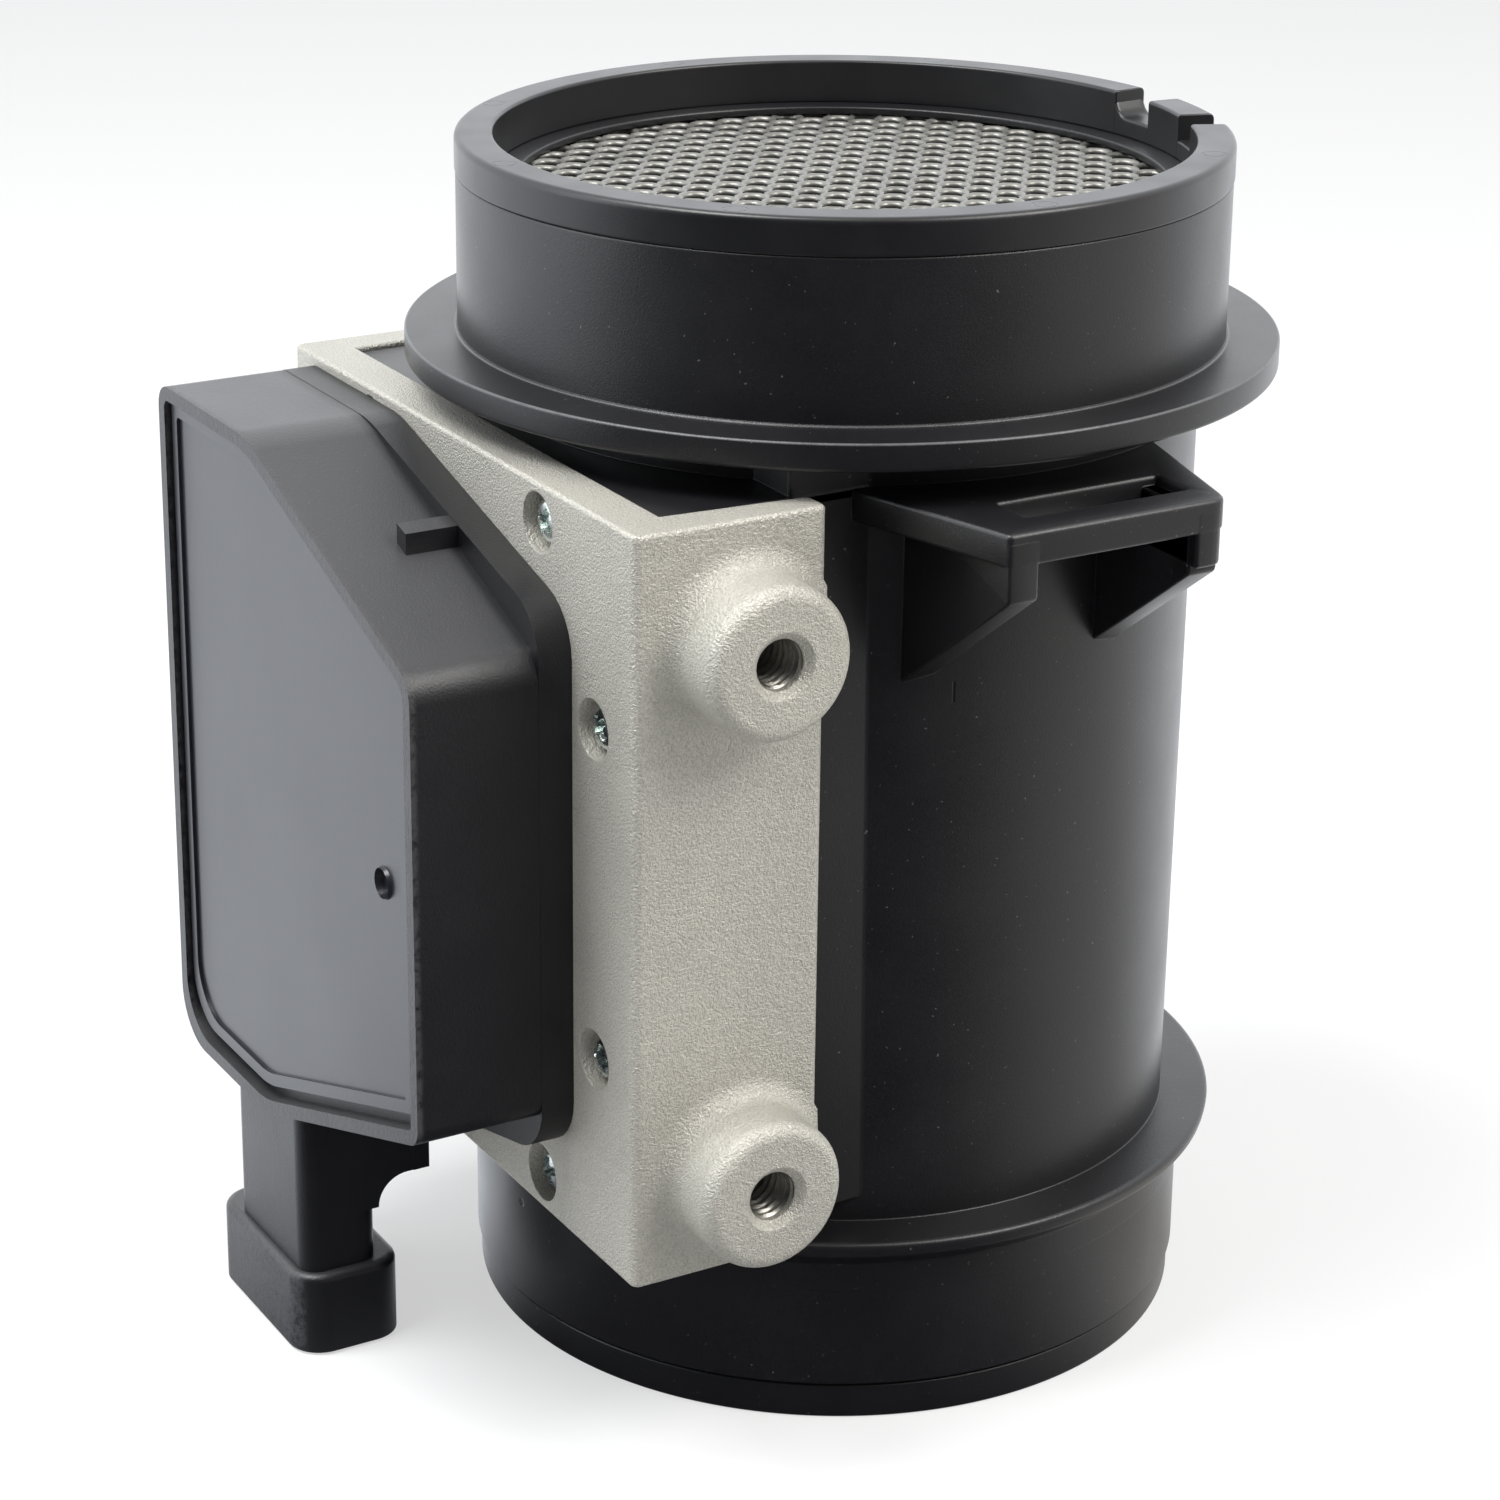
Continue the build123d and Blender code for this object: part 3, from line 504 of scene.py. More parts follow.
# The collar is a rim that stops a duct's cuff, moulded all round but for the cast base's side.
collar_half_angle = math.radians(131)
collar_radius = 42.3 * mm
collar_root = 15 * mm
turned_ring(
    tube,
    [
        (bore_radius + 0.5 * mm, collar_root, 0),
        (outlet_radius - 0.02 * mm, collar_root, 0),
        (outlet_radius - 0.02 * mm, collar_bottom - 0.2 * mm, 1.2 * mm),
        (collar_radius - 0.3 * mm, collar_top - 1.5 * mm, 0.8 * mm),
        (collar_radius, collar_top, 0.9 * mm),
        (barrel_foot_radius, collar_top, 0.2 * mm),
        (barrel_foot_radius - 0.5 * mm, collar_top + 0.3 * mm, 0),
        (bore_radius + 0.5 * mm, collar_top + 0.3 * mm, 0),
    ],
    count=180,
    start=-collar_half_angle,
    sweep=2 * collar_half_angle,
)


def level(height):
    """Places an outline flat at a height."""
    return lambda u, v: Vector((u, v, height))


# The seat is a flat boss on the tube's side that the cast base screws to, and the riser behind it
# reaches the flange. Both follow the tube's wall inside, so the air's way stays clear.
seat_front = -40.0 * mm
seat_half_width = 33.3 * mm
seat_bottom = 24.8 * mm
seat_top = 101.2 * mm
riser_front = -26.0 * mm
riser_lap = 1 * mm
flange_lap = 0.5 * mm
riser_turn = 0.9
wall_middle = 35.7 * mm
wall_end = math.asin(seat_half_width / wall_middle)
wall_steps = 24
seat_outline = [(seat_front, -seat_half_width, 0.4 * mm), (seat_front, seat_half_width, 0.4 * mm)]
for step in range(wall_steps + 1):
    turn = wall_end - 2 * wall_end * step / wall_steps
    seat_outline.append((-wall_middle * math.cos(turn), wall_middle * math.sin(turn), 0))
slab(tube, seat_outline, level(seat_bottom), Vector((0, 0, seat_top - seat_bottom)), 0.3 * mm)
corner_x = -math.sqrt(wall_middle**2 - seat_half_width**2)
riser_inner = math.sqrt(wall_middle**2 - riser_front**2)
inner_corner = (-wall_middle * math.cos(riser_turn), wall_middle * math.sin(riser_turn))
for side in (-1, 1):
    slab(
        tube,
        [
            (riser_front, side * riser_inner, 0),
            (riser_front, side * seat_half_width, 0.4 * mm),
            (corner_x, side * seat_half_width, 0),
            (inner_corner[0], side * inner_corner[1], 0),
        ],
        level(seat_top - riser_lap),
        Vector((0, 0, flange_bottom + flange_lap - seat_top + riser_lap)),
    )

# The clip bracket stands out below the flange: a slotted plate on two posts, each with a gusset.
# The plate's near right corner is rounded, and the post below it follows that corner.
bracket_front = -52.6 * mm
bracket_left = -13.8 * mm
bracket_right = 11.0 * mm
bracket_splay = 5.2 * mm
bracket_top = 101.0 * mm
bracket_thickness = 3.3 * mm
bracket_corner = 2.2 * mm
plate_lap = 1 * mm
post_width = 3.4 * mm
post_front = bracket_front + 0.04 * mm
post_foot = 94.3 * mm
gusset_foot = 79.8 * mm
slot_half_length = 9.2 * mm
slot_front = bracket_front + 4.2 * mm
slot_back = slot_front + 5.0 * mm
slot_corner = 0.3 * mm
gusset_front = bracket_front + 1.2 * mm
gusset_slope = (post_foot - gusset_foot) / (-seat_half_width - bracket_front)
gusset_tip = post_foot - gusset_slope * (gusset_front - bracket_front)
post_tip = post_foot - gusset_slope * (post_front - bracket_front)
slab(
    tube,
    [
        (bracket_left, bracket_front, 0.7 * mm),
        (bracket_right, bracket_front, bracket_corner),
        (bracket_right + bracket_splay, -seat_half_width, 0),
        (bracket_left - bracket_splay, -seat_half_width, 0),
    ],
    level(bracket_top),
    Vector((0, 0, -bracket_thickness)),
    0.45 * mm,
    hole=[
        (-slot_half_length, slot_front, slot_corner),
        (slot_half_length, slot_front, slot_corner),
        (slot_half_length, slot_back, slot_corner),
        (-slot_half_length, slot_back, slot_corner),
    ],
)
slab(
    tube,
    [
        (bracket_right - post_width, post_front, 0.4 * mm),
        (bracket_right, post_front, bracket_corner),
        (bracket_right, -seat_half_width, 0),
        (bracket_right - post_width, -seat_half_width, 0),
    ],
    level(bracket_top - plate_lap),
    Vector((0, 0, post_foot - bracket_top + plate_lap)),
    0.35 * mm,
)
for post_left, front, tip in (
    (bracket_left, post_front, post_tip),
    (bracket_right - post_width, gusset_front, gusset_tip),
):
    slab(
        tube,
        [
            (front, bracket_top - plate_lap, 0),
            (front, tip, 0.8 * mm),
            (-seat_half_width, gusset_foot, 0),
            (-seat_half_width, bracket_top - plate_lap, 0),
        ],
        lambda u, v: Vector((post_left, u, v)),
        Vector((post_width, 0, 0)),
        0.35 * mm,
    )

piece("tube_moulding", tube, housing_plastic, "housing_plastic", "tube_housing")


# The inlet screen is expanded steel sheet, rolled soft so that its strands are round and satin.
# A few of its cells are a little out of true, as the slitting and stretching leave them.
screen_metal, weave = material("screen_metal")
worn = weave.grain(0.6 * mm, 3)
soot = weave.ramp(weave.grain(7 * mm, 3), 0.45, 0.75)
surface(
    weave,
    {
        "Base Color": weave.blend(
            soot * 0.5 + worn * 0.3, (0.25, 0.247, 0.23), (0.11, 0.108, 0.1)
        ),
        "Metallic": 0.75,
        "Roughness": 0.34 + worn * 0.2,
    },
    bump=worn,
    depth=0.02 * mm,
)
cell_pitch = 3.3 * mm
cell_turn = math.radians(-6)
strand_half_width = 0.46 * mm
strand_half_height = 0.42 * mm
screen_middle = screen_seat + strand_half_height
screen_reach = 36.6 * mm
screen_spare = 0.3 * cell_pitch
hex_corner = cell_pitch / math.sqrt(3)
hex_side = math.pi / 3
hole_six_sided = 0.35
hole_reach = cell_pitch / 2 - strand_half_width * 0.92
shake_density = 900
shake_reach = 0.09 * mm
cell_sides = 18
strand_sides = 6
noise.seed_set(1)
screen = bmesh.new()


def cell_ring(middle_point, share, height):
    """A ring of a cell from its six-sided border, share 0, to its rounded hole, share 1."""
    ring = []
    for step in range(cell_sides):
        angle = 2 * math.pi * step / cell_sides
        fold = (angle + hex_side / 2) % hex_side - hex_side / 2
        border = hex_corner * math.cos(hex_side / 2) / math.cos(fold)
        hole = hole_six_sided * (border - strand_half_width) + (1 - hole_six_sided) * hole_reach
        reach = border + (hole - border) * share
        turn = angle + cell_turn
        spot = middle_point + Vector((math.cos(turn), math.sin(turn), 0)) * reach
        shake = noise.noise_vector(spot * shake_density) * shake_reach
        spot += Vector((shake.x, shake.y, 0))
        if spot.length > screen_reach:
            spot *= screen_reach / spot.length
        spot.z = screen_middle + height
        ring.append(screen.verts.new(spot))
    return ring


rows = math.ceil(screen_reach / cell_pitch) + 3
row_turn = cell_turn + hex_side
along = Vector((math.cos(cell_turn), math.sin(cell_turn), 0)) * cell_pitch
up = Vector((math.cos(row_turn), math.sin(row_turn), 0)) * cell_pitch
strand_turns = [math.pi * step / strand_sides for step in range(strand_sides + 1)]
for row in range(-rows, rows + 1):
    for column in range(-rows, rows + 1):
        centre = along * column + up * row
        if centre.length > screen_reach + screen_spare:
            continue
        rings = [
            cell_ring(centre, math.sin(turn), math.cos(turn) * strand_half_height)
            for turn in strand_turns
        ]
        bridge(screen, rings)
bmesh.ops.remove_doubles(screen, verts=screen.verts, dist=0.02 * mm)
piece("expanded_screen", screen, screen_metal, "screen_metal", "inlet_screen", smooth=80)

# The screen frame is a black moulded washer that clamps the screen's edge below the inlet ring.
# It is seen as a narrow ledge between the ring's bore and the screen.
frame_low = 122.3 * mm
frame_high = 123.1 * mm
frame_bore = 33.4 * mm
push_fit_radius = ring_seat_radius - 0.05 * mm
ledge = bmesh.new()
turned_ring(
    ledge,
    [
        (frame_bore, frame_low, 0.1 * mm),
        (push_fit_radius, frame_low, 0),
        (push_fit_radius, frame_high, 0),
        (frame_bore, frame_high, 0.25 * mm),
    ],
)
piece("screen_ledge", ledge, housing_plastic, "housing_plastic", "screen_frame")

# The inlet ring is a black moulding pushed into the housing's mouth, which leaves a fine joint.
# Ejector pins marked its top with faint circles, and two notches beside a tab key the duct. The
# edges of the notches and the tab are given as angles in degrees.
ring_radius = 40.0 * mm
ring_top = 127.8 * mm
ring_bore = 36.0 * mm
notch_floor = ring_top - 2.7 * mm
notch_sweep = 1.9 * mm
notch_edge = 4.0
tab_left = -5.5
tab_right = -17.5
notch_end = -25.5
ring_join = 0.5
floor_inset = 0.02 * mm


def ring_arc(mesh, first, last, top, back=0.0):
    """Adds the part of the ring between two angles in degrees, as high as top says at each."""
    count = math.ceil(last - first)
    columns = []
    for step in range(count + 1):
        angle = math.radians(first + (last - first) * step / count)
        outline = soften(
            [
                (ring_bore + back, top(angle), 0.4 * mm),
                (ring_radius - back, top(angle), 0.7 * mm),
                (ring_radius - back, joint_height + back, 0.3 * mm),
                (push_fit_radius, joint_height + back, 0),
                (push_fit_radius, frame_high, 0),
                (ring_bore + back, frame_high, 0.2 * mm),
            ]
        )
        across, aside = math.cos(angle), math.sin(angle)
        columns.append([mesh.verts.new((r * across, r * aside, z)) for r, z in outline])
    bridge(mesh, columns)
    mesh.faces.new(columns[0])
    mesh.faces.new(reversed(columns[-1]))


def swept_floor(angle):
    """The first notch's floor, which curves up to its far wall."""
    off = max(0, notch_sweep - ring_radius * (math.radians(notch_edge) - angle))
    return notch_floor + notch_sweep - math.sqrt(max(0, notch_sweep**2 - off**2))


ring = bmesh.new()
ring_arc(ring, notch_edge, 360 + notch_end + ring_join, lambda angle: ring_top)
ring_arc(ring, tab_right, tab_left, lambda angle: ring_top)
ring_arc(ring, tab_left - ring_join, notch_edge + 0.4, swept_floor, floor_inset)
ring_arc(ring, notch_end, tab_right + ring_join, lambda angle: notch_floor, floor_inset)

ring_plastic, moulding = material("ring_plastic")
pin_count = 8
pin_turn = math.radians(-2)
pin_circle = 38.3 * mm
pin_radius = 1.15 * mm
marks = None
for step in range(pin_count):
    angle = 2 * math.pi * step / pin_count + pin_turn
    spot = (pin_circle * math.cos(angle), pin_circle * math.sin(angle), ring_top)
    gap = moulding.vector_math("DISTANCE", moulding.place, spot)
    line = moulding.ramp(abs(gap - pin_radius), 0.05 * mm, 0.14 * mm, 1.0, 0.0)
    marks = line if marks is None else marks.math("MAXIMUM", line)
dusting = moulding.grain(6 * mm, 4)
specks = moulding.ramp(moulding.grain(0.4 * mm, 2), 0.66, 0.78)
surface(
    moulding,
    {
        "Base Color": moulding.blend(
            marks,
            moulding.blend(
                dusting * 0.6 + specks * 0.5, (0.0035, 0.0035, 0.0048), (0.012, 0.012, 0.0135)
            ),
            (0.0012, 0.0012, 0.0018),
        ),
        "Roughness": 0.36 + (dusting - 0.5) * 0.15,
        "IOR": 1.52,
    },
    bump=moulding.grain(0.18 * mm, 3, 0.6) * 0.5 - marks * 3,
    depth=0.02 * mm,
)
piece(
    "inlet_ring_moulding",
    ring,
    ring_plastic,
    "housing_plastic",
    "inlet_ring",
    edge=0.35 * mm,
    smooth=40,
)


# The measuring tube is a black moulding that hangs on the stem's tip in the middle of the air.
# The stem is the same plastic, and plugs its socket with a rubber ring in a groove.
def dress(finish, *nodes):
    """Gives a finish to the CAD's own solids."""
    for node in nodes:
        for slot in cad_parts[node].material_slots:
            slot.material = finish


stem_plastic = moulded(
    "stem_plastic", (0.006, 0.006, 0.008), (0.018, 0.018, 0.020), gloss=0.33, rounding=0.15 * mm
)
dress(stem_plastic, "measuring_tube", "sensor_stem")

rubber, pressed = material("seal_rubber")
bloom = pressed.grain(3 * mm, 4)
surface(
    pressed,
    {
        "Base Color": pressed.blend(bloom * 0.6, (0.006, 0.006, 0.006), (0.022, 0.022, 0.022)),
        "Roughness": 0.55 + bloom * 0.25,
    },
    bump=pressed.grain(0.4 * mm, 3),
    depth=0.02 * mm,
)
dress(rubber, "stem_seal", "base_gasket")

# The films are white ceramic strips, with a printed metal track that folds back and forth on each.
# Four bright strips lead from them through the stem to the board.
film_ceramic, fired = material("film_ceramic")
track_pitch = 0.9 * mm
film_x = fired.part(fired.place, "X")
track = fired.ramp(abs((film_x / track_pitch).math("FRACT") - 0.5), 0.2, 0.27)
surface(
    fired,
    {
        "Base Color": fired.blend(track * 0.85, (0.78, 0.77, 0.72), (0.30, 0.31, 0.33)),
        "Metallic": track * 0.8,
        "Roughness": 0.5 - track * 0.2,
    },
    bump=track + fired.grain(0.2 * mm, 2) * 0.3,
    depth=0.01 * mm,
)
dress(film_ceramic, "heated_film", "reference_film")

lead_metal, plated = material("lead_copper")
tarnish = plated.grain(1.5 * mm, 4)
surface(
    plated,
    {
        "Base Color": plated.blend(tarnish * 0.7, (0.80, 0.60, 0.30), (0.42, 0.26, 0.12)),
        "Metallic": 1.0,
        "Roughness": 0.22 + tarnish * 0.2,
    },
    bump=plated.grain(0.15 * mm, 2),
    depth=0.006 * mm,
)
dress(lead_metal, "lead_strips")

# The base is a die-cast aluminium channel that cools the circuit, blasted with beads to an even
# grain. Two bosses on its near leg are cast with it, then drilled and tapped.
cast_alloy, pour = material("cast_alloy")
peel = pour.grain(0.28 * mm, 2, 0.6)
sparkle = pour.ramp(pour.grain(0.16 * mm, 1), 0.42, 0.68)
stain = pour.grain(11 * mm, 4)
# The colour darkens where the grain's relief is low: painted shade in its hollows.
surface(
    pour,
    {
        "Base Color": pour.blend(
            stain * 0.3 + pour.ramp(peel, 0.6, 0.3) * 0.25 + sparkle * 0.15,
            (0.58, 0.56, 0.50),
            (0.22, 0.215, 0.195),
        ),
        "Metallic": 0.55,
        "Roughness": 0.46 + sparkle * 0.14,
    },
    bump=peel + sparkle * 0.18,
    depth=0.21 * mm,
    rounding=0.25 * mm,
)
dress(cast_alloy, "base_casting")

bare_thread, tapped = material("tapped_thread")
cutting = tapped.grain(0.25 * mm, 3)
surface(
    tapped,
    {
        "Base Color": tapped.blend(cutting, (0.34, 0.33, 0.30), (0.15, 0.145, 0.13)),
        "Metallic": 1.0,
        "Roughness": 0.24 + cutting * 0.2,
    },
    bump=cutting,
    depth=0.02 * mm,
)

boss_x = -33.5 * mm
boss_face = -45.45 * mm
thread_pitch = 1.0 * mm
thread_core = 2.28 * mm
thread_height = 0.42 * mm
thread_wall = 2.72 * mm
thread_length = 9.6 * mm
thread_lead_in = 0.7 * mm
thread_sides = 64
rows_per_turn = 10
fade_rows = 8
flank_slope = 2.4
crest_flat = 0.1
for boss_name, boss_height in (("upper", 89.3 * mm), ("lower", 34.6 * mm)):
    thread = bmesh.new()
    rows = []
    row_count = round(thread_length / thread_pitch * rows_per_turn)
    for row in range(row_count + 1):
        depth = thread_lead_in + thread_length * row / row_count
        ring_points = []
        for step in range(thread_sides):
            turn = 2 * math.pi * step / thread_sides
            phase = (depth / thread_pitch - step / thread_sides) % 1
            ridge = min(1, max(0, flank_slope * abs(phase - 0.5) - crest_flat))
            fade = min(1, row / fade_rows)
            radius = thread_core + thread_height * (1 - ridge * fade)
            across, rise = radius * math.cos(turn), radius * math.sin(turn)
            spot = (boss_x + across, boss_face + depth, boss_height + rise)
            ring_points.append(thread.verts.new(spot))
        rows.append(ring_points)
    for end in (rows[-1], rows[0]):
        outer = []
        for point in end:
            outward = Vector((point.co.x - boss_x, 0, point.co.z - boss_height)).normalized()
            reach = outward * thread_wall
            outer.append(thread.verts.new((boss_x + reach.x, point.co.y, boss_height + reach.z)))
        rows.append(outer)
    rows.append(rows[0])
    bridge(thread, rows)
    piece(boss_name + "_boss_thread", thread, bare_thread, "cast_alloy", smooth=25)

# Eight pan screws of zinc-plated steel hold the base to the housing. Each head has a tapered cross
# recess, scuffed by the driver, and sits in a counterbore of the casting.
screw_zinc, plating = material("screw_zinc")
scuff = plating.grain(0.5 * mm, 4, 0.65)
passive = plating.grain(2.2 * mm, 2)
surface(
    plating,
    {
        "Base Color": plating.blend(
            plating.ramp(scuff, 0.5, 0.72),
            plating.blend(passive, (0.56, 0.66, 0.60), (0.70, 0.72, 0.74)),
            (0.30, 0.33, 0.30),
        ),
        "Metallic": 1.0,
        "Roughness": 0.14 + scuff * 0.22,
    },
    bump=scuff,
    depth=0.03 * mm,
)
head_radius = 2.3 * mm
head_front = -44.7 * mm
head_height = 1.7 * mm
head_steps = 30
crown_height = 0.95 * mm
crown_power = 2.6
recess_depth = 1.5 * mm
recess_reach = 1.35 * mm
recess_half = 0.32 * mm
recess_wall = 0.1 * mm
screw_sides = 56
shank_radius = 1.3 * mm
shank_end = -30.6 * mm
shank_rows = 78
rows_per_groove = 6
groove_depth = 0.22 * mm
screw_turns = (0.2, 0.9, 0.5, 1.3, 0.35, 1.1, 0.7, 0.05)
case_middle = 63 * mm
screw_places = [
    (side * aside, case_middle + end * rise)
    for aside, rise in ((18.9 * mm, 34.6 * mm), (30.1 * mm, 17.2 * mm))
    for side in (1, -1)
    for end in (1, -1)
]


def recess(u, v):
    """How deep the driver's cross is cut at a spot on the head, from 0 to 1."""
    cut = 0
    for along, aside in ((abs(u), abs(v)), (abs(v), abs(u))):
        half = recess_half * (1.25 - 0.4 * along / recess_reach)
        side = 1 - max(0, min(1, (aside - half) / recess_wall))
        end = 1 - max(0, min(1, (along - recess_reach * 0.55) / (recess_reach * 0.45)))
        cut = max(cut, side * end**0.6)
    return cut


screws = bmesh.new()
for (place_y, place_z), screw_turn in zip(screw_places, screw_turns):
    turns = [2 * math.pi * index / screw_sides for index in range(screw_sides)]
    rings = []
    for step in range(head_steps + 1):
        share = step / head_steps
        radius = head_radius * share
        fall = crown_height * (1 - math.sqrt(max(0, 1 - share**crown_power)))
        ring_points = []
        for turn in turns:
            depth = fall + recess_depth * recess(radius * math.cos(turn), radius * math.sin(turn))
            spun = turn + screw_turn
            at_y, at_z = place_y + radius * math.cos(spun), place_z + radius * math.sin(spun)
            ring_points.append(screws.verts.new((head_front + depth, at_y, at_z)))
        rings.append(ring_points)
    head_back = head_front + head_height
    below = [(head_radius, head_back), (shank_radius, head_back + 0.02 * mm)]
    for row in range(shank_rows + 1):
        below.append((shank_radius, head_back + (shank_end - head_back) * row / shank_rows))
    for row, (radius, at_x) in enumerate(below):
        grooved = 4 < row < shank_rows
        ring_points = []
        for index, turn in enumerate(turns):
            phase = ((row - 2) / rows_per_groove - index / screw_sides) % 1
            reach = radius - (groove_depth * abs(phase - 0.5) if grooved else 0)
            spun = turn + screw_turn
            at_y, at_z = place_y + reach * math.cos(spun), place_z + reach * math.sin(spun)
            ring_points.append(screws.verts.new((at_x, at_y, at_z)))
        rings.append(ring_points)
    bridge(screws, rings)
    screws.faces.new(rings[-1])
bmesh.ops.remove_doubles(screws, verts=screws.verts, dist=0.001 * mm)
piece("cross_screws", screws, screw_zinc, "screw_zinc", "base_screws", smooth=40)

# The electronics case is a black moulded frame, glued on the base, with the plug's connector on it.
# Its wall and its foot flange are rounded at their corners by themselves, then the wall is let into
# the foot, whose flush sides stand out by a hair so that no two faces share a plane.
case_near = -25.8 * mm
case_far = 34.9 * mm
case_fold = 11.8 * mm
case_low = 25.5 * mm
case_high = 100.5 * mm
shoulder_high = 86.4 * mm
shoulder_low = 38.5 * mm
foot_high = 90.4 * mm
foot_low = 34.5 * mm
fold_radius = 14 * mm
foot_corner_radius = 6 * mm
shared_corners = (
    (case_far, case_high, 2.5 * mm),
    (case_fold, case_high, fold_radius),
    (case_fold, case_low, fold_radius),
)
wall_corners = (
    (case_near, shoulder_high, 3.6 * mm),
    (case_near, shoulder_low, 2.2 * mm),
    *shared_corners,
)
foot_corners = (
    (case_near, foot_high, foot_corner_radius),
    (case_near, foot_low, foot_corner_radius),
    *shared_corners,
)
corner_reach = 5 * mm
corner_steps = 6
least_turn = math.radians(8)
least_radius = 0.6 * mm
foot_front = -48.9 * mm
cut_clear = 0.05 * mm
wall_root = 1.2 * mm
flush_skin = 0.05 * mm


def solid_shape(node):
    """The CAD solid's own shape, with flat faces whole."""
    shape = bmesh.new()
    shape.from_mesh(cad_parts[node].data)
    bmesh.ops.remove_doubles(shape, verts=shape.verts, dist=0.002 * mm)
    flat = math.radians(1.5)
    bmesh.ops.dissolve_limit(shape, angle_limit=flat, verts=shape.verts, edges=shape.edges)
    return shape


def cut_across(shape, at, side, deeper=0.0):
    """Keeps what lies on one side of a plane across x and closes it there, or a little deeper."""
    everything = shape.verts[:] + shape.edges[:] + shape.faces[:]
    cut = bmesh.ops.bisect_plane(
        shape, geom=everything, plane_co=(at, 0, 0), plane_no=(side, 0, 0), clear_outer=True
    )["geom_cut"]
    rim = [part for part in cut if isinstance(part, bmesh.types.BMEdge)]
    bmesh.ops.triangle_fill(shape, edges=rim, use_beauty=True)
    for part in cut:
        if isinstance(part, bmesh.types.BMVert):
            part.co.x += side * deeper


def round_corners(shape, corners):
    """Rounds the edges along x at corners of (y, z, radius), and those inset from them to match."""
    for y, z, radius in corners:
        groups = {}
        for edge in shape.edges:
            near, far = [vert.co for vert in edge.verts]
            off = math.hypot(near.y - y, near.z - z)
            straight = math.hypot(near.y - far.y, near.z - far.z) < 0.01 * mm
            if off > corner_reach or not straight or len(edge.link_faces) != 2:
                continue
            if edge.calc_face_angle() > least_turn:
                groups.setdefault(round(off / mm, 1), []).append(edge)
        for off, edges in groups.items():
            turn = edges[0].calc_face_angle()
            own_radius = max(least_radius, radius - off * mm * math.cos(turn / 2))
            bmesh.ops.bevel(
                shape,
                geom=[edge for edge in edges if edge.is_valid],
                offset=own_radius * math.tan(turn / 2),
                offset_type="OFFSET",
                segments=corner_steps,
                profile=0.5,
                affect="EDGES",
                clamp_overlap=False,
            )


# Upward faces of the case's wall are painted lighter grey as light from above, flecked with dust,
# and its front rim is scuffed grey from rubbing.
case_plastic, shell = material("case_plastic")
shell_x = shell.part(shell.place, "X")
clouds = shell.grain(8 * mm, 4)
dust = shell.ramp(shell.grain(0.3 * mm, 2), 0.66, 0.8)
upward = shell.part(shell.add("ShaderNodeNewGeometry", out="Normal"), "Z")
# Painted light: the wall's upward faces turn lighter grey as if lit from above, with dust specks in
# it.
painted_top_light = shell.ramp(upward, 0.5, 0.95) * shell.ramp(shell_x, -49 * mm, -50.5 * mm)
scuffs = shell.ramp(shell.grain(0.8 * mm, 4, 0.7), 0.3, 0.62)
greyed_edges = shell.ramp(shell_x, -61.5 * mm, -62.2 * mm) * scuffs
bare = shell.blend(clouds * 0.5 + dust * 0.4, (0.003, 0.003, 0.0045), (0.012, 0.012, 0.0145))
dust_and_top_light = shell.blend(painted_top_light * (0.35 + dust * 0.5), bare, (0.10, 0.10, 0.105))
surface(
    shell,
    {
        "Base Color": shell.blend(greyed_edges * 0.7, dust_and_top_light, (0.05, 0.05, 0.053)),
        "Roughness": 0.40 + (clouds - 0.5) * 0.1 + greyed_edges * 0.1,
        "IOR": 1.52,
    },
    bump=shell.grain(0.24 * mm, 3, 0.6) + greyed_edges * 0.5,
    depth=0.04 * mm,
)
case_walls = solid_shape("electronics_case")
case_foot = case_walls.copy()
cut_across(case_walls, foot_front - cut_clear, 1, wall_root)
cut_across(case_foot, foot_front + cut_clear, -1)
round_corners(case_walls, wall_corners)
round_corners(case_foot, foot_corners)
bmesh.ops.recalc_face_normals(case_foot, faces=case_foot.faces)
case_foot.normal_update()
for vert in case_foot.verts:
    vert.co += Vector((0, vert.normal.y, vert.normal.z)) * flush_skin
foot_mesh = bpy.data.meshes.new("case_foot")
case_foot.to_mesh(foot_mesh)
case_foot.free()
case_walls.from_mesh(foot_mesh)
piece(
    "case_moulding",
    case_walls,
    case_plastic,
    "case_plastic",
    "electronics_case",
    edge=0.45 * mm,
    smooth=35,
)

# Beads of grey sealant bed the case on the base and the cover in the case.
sealant, bead = material("sealant")
lumps = bead.grain(2 * mm, 3)
surface(
    bead,
    {
        "Base Color": bead.blend(lumps, (0.035, 0.036, 0.04), (0.09, 0.092, 0.1)),
        "Roughness": 0.35 + lumps * 0.2,
    },
    bump=lumps,
    depth=0.08 * mm,
)
dress(sealant, "case_seal", "cover_seal")

# The circuit is a white ceramic board on a blue-grey thermal pad, with printed tracks under glaze.
thermal_film, pad = material("thermal_film")
weft = pad.grain(0.7 * mm, 3)
surface(
    pad,
    {
        "Base Color": pad.blend(weft, (0.30, 0.36, 0.40), (0.42, 0.47, 0.50)),
        "Roughness": 0.6 + weft * 0.2,
    },
    bump=weft,
    depth=0.02 * mm,
)
dress(thermal_film, "thermal_pad")

ceramic_board, glaze = material("ceramic_board")
run_pitch = 2.4 * mm
bend = glaze.grain(14 * mm, 0) * 4
runs = [glaze.part(glaze.place, axis) / run_pitch + bend for axis in "YZ"]
run_y, run_z = [glaze.ramp(abs(run.math("FRACT") - 0.5), 0.1, 0.15, 1.0, 0.0) for run in runs]
choice = glaze.ramp(glaze.grain(9 * mm, 1), 0.49, 0.51)
tracks = run_y * choice + run_z * (1 - choice)
surface(
    glaze,
    {
        "Base Color": glaze.blend(tracks * 0.8, (0.70, 0.69, 0.64), (0.26, 0.30, 0.26)),
        "Roughness": 0.35 + tracks * 0.1,
    },
    bump=tracks,
    depth=0.03 * mm,
)
dress(ceramic_board, "circuit_board")

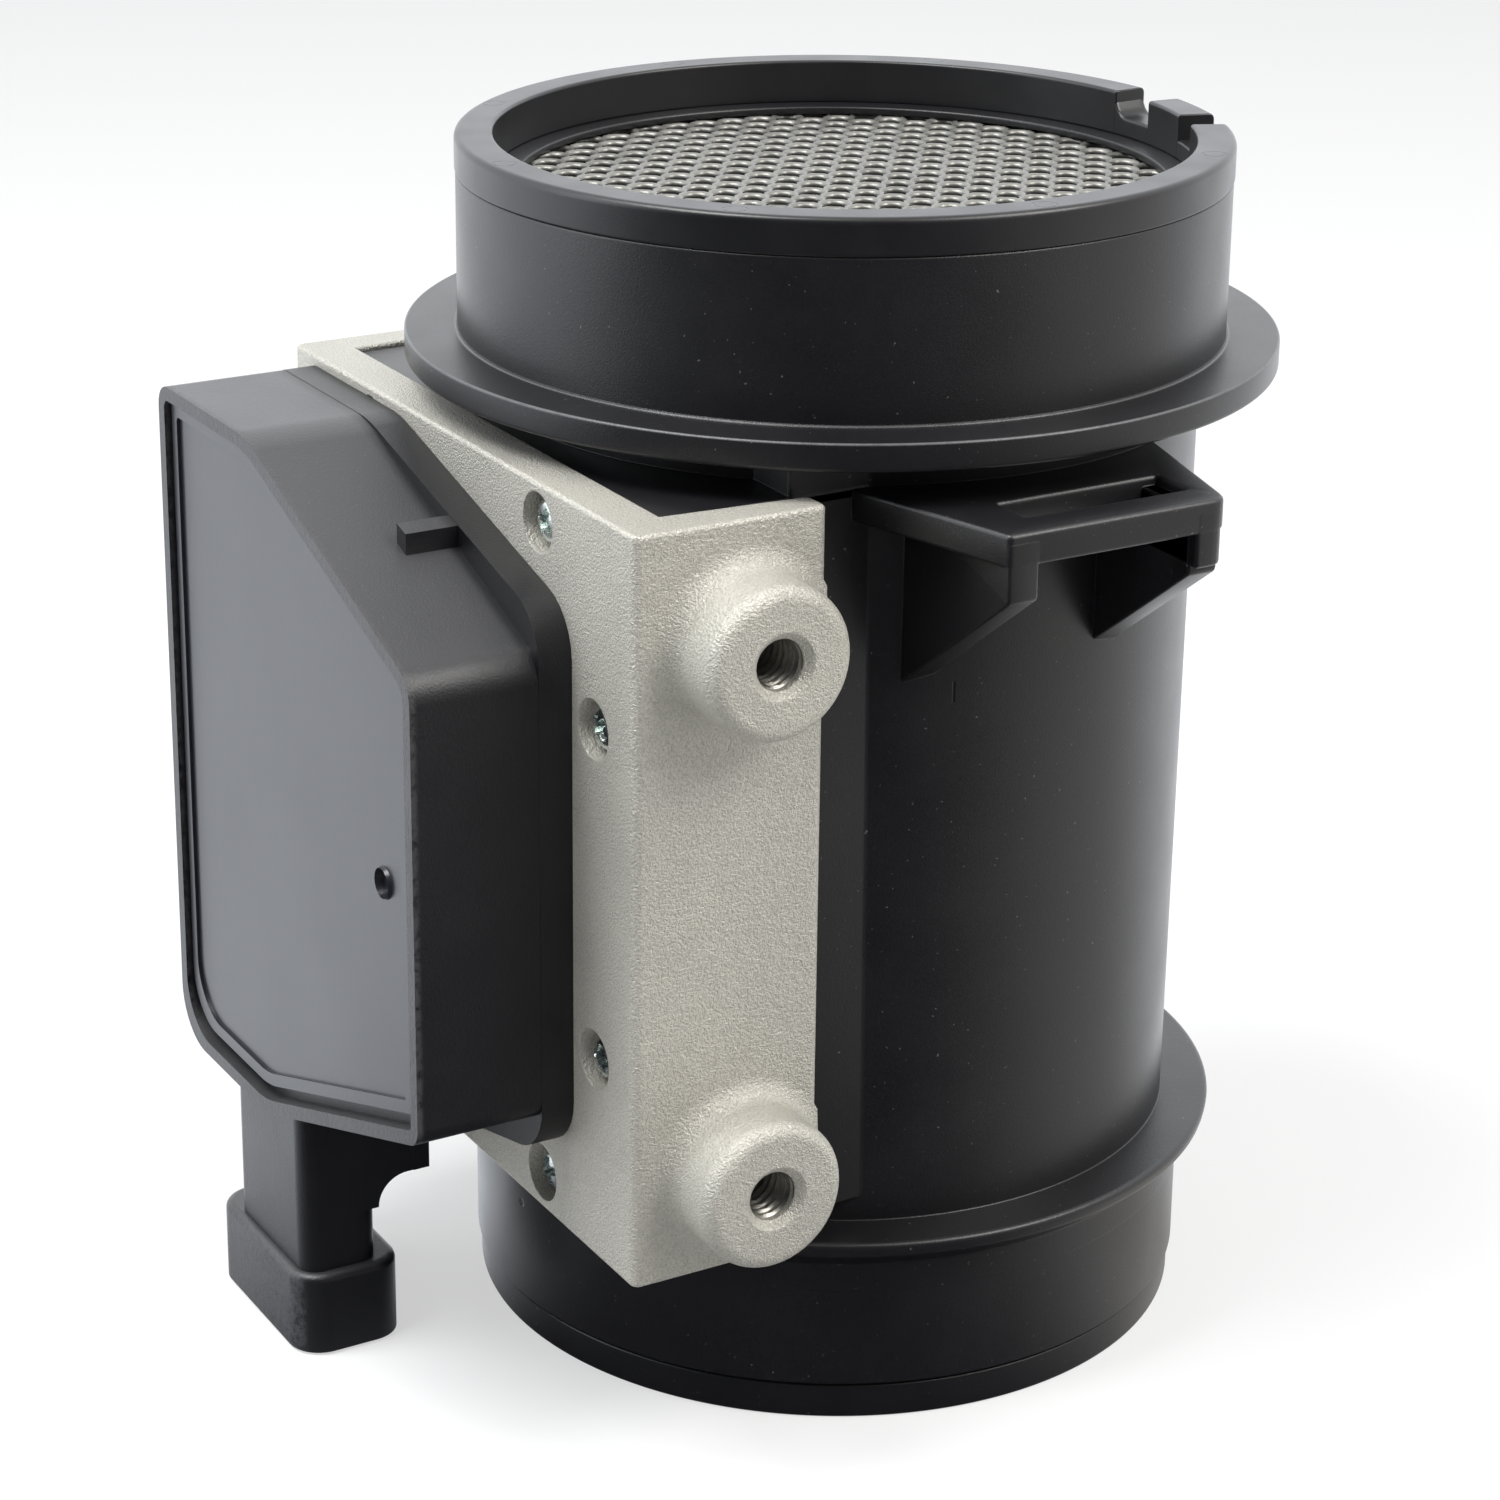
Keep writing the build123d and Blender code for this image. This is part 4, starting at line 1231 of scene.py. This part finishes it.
# The chips are black moulded packages, and the capacitors are small cans of bright aluminium.
chip_plastic, package = material("chip_plastic")
filler = package.grain(0.25 * mm, 3)
surface(
    package,
    {
        "Base Color": package.blend(filler, (0.010, 0.010, 0.011), (0.034, 0.034, 0.036)),
        "Roughness": 0.5 + filler * 0.2,
    },
    bump=filler,
    depth=0.02 * mm,
    rounding=0.1 * mm,
)
dress(chip_plastic, "driver_chip", "signal_chip", "power_transistor")

can_metal, can = material("capacitor_can")
drawn = can.grain(0.5 * mm, 3)
surface(
    can,
    {
        "Base Color": can.blend(drawn, (0.62, 0.62, 0.63), (0.75, 0.75, 0.76)),
        "Metallic": 1.0,
        "Roughness": 0.25 + drawn * 0.15,
    },
    bump=drawn,
    depth=0.01 * mm,
    rounding=0.15 * mm,
)
dress(can_metal, "filter_capacitors")

# The plug's three blades are stamped from brass strip and tinned.
terminal_tin, stamped = material("terminal_tin")
rolled = stamped.grain(0.8 * mm, 4)
surface(
    stamped,
    {
        "Base Color": stamped.blend(rolled, (0.66, 0.65, 0.61), (0.50, 0.48, 0.43)),
        "Metallic": 1.0,
        "Roughness": 0.26 + rolled * 0.2,
    },
    bump=rolled,
    depth=0.012 * mm,
    rounding=0.1 * mm,
)
dress(terminal_tin, "terminal_1", "terminal_2", "terminal_3")

# The cover is a smooth moulded plate let into the case's rim on the sealant, a satin blue-grey
# black. Its panel lies sunk inside a narrow border and has one round dimple.
cover_plastic, plate = material("cover_plastic")
haze = plate.grain(14 * mm, 5)
fine = plate.grain(1.2 * mm, 4, 0.6)
surface(
    plate,
    {
        "Base Color": plate.blend(
            haze * 0.6 + fine * 0.3, (0.008, 0.0085, 0.012), (0.018, 0.019, 0.024)
        ),
        "Roughness": 0.33 + (haze - 0.5) * 0.08,
        "IOR": 1.52,
    },
    bump=plate.grain(0.3 * mm, 3, 0.6),
    depth=0.008 * mm,
)
cover = solid_shape("case_cover")
panel_front = -62 * mm
dimple_floor = (-61.75 * mm, -61.5 * mm)
sunk_panel = -61.45 * mm
dimple_drop = 0.65 * mm
for vert in cover.verts:
    if vert.co.x < panel_front:
        vert.co.x = sunk_panel
    elif dimple_floor[0] < vert.co.x < dimple_floor[1]:
        vert.co.x += dimple_drop
round_corners(cover, wall_corners)
piece("cover_plate", cover, cover_plastic, "cover_plastic", "case_cover", edge=0.14 * mm, smooth=35)
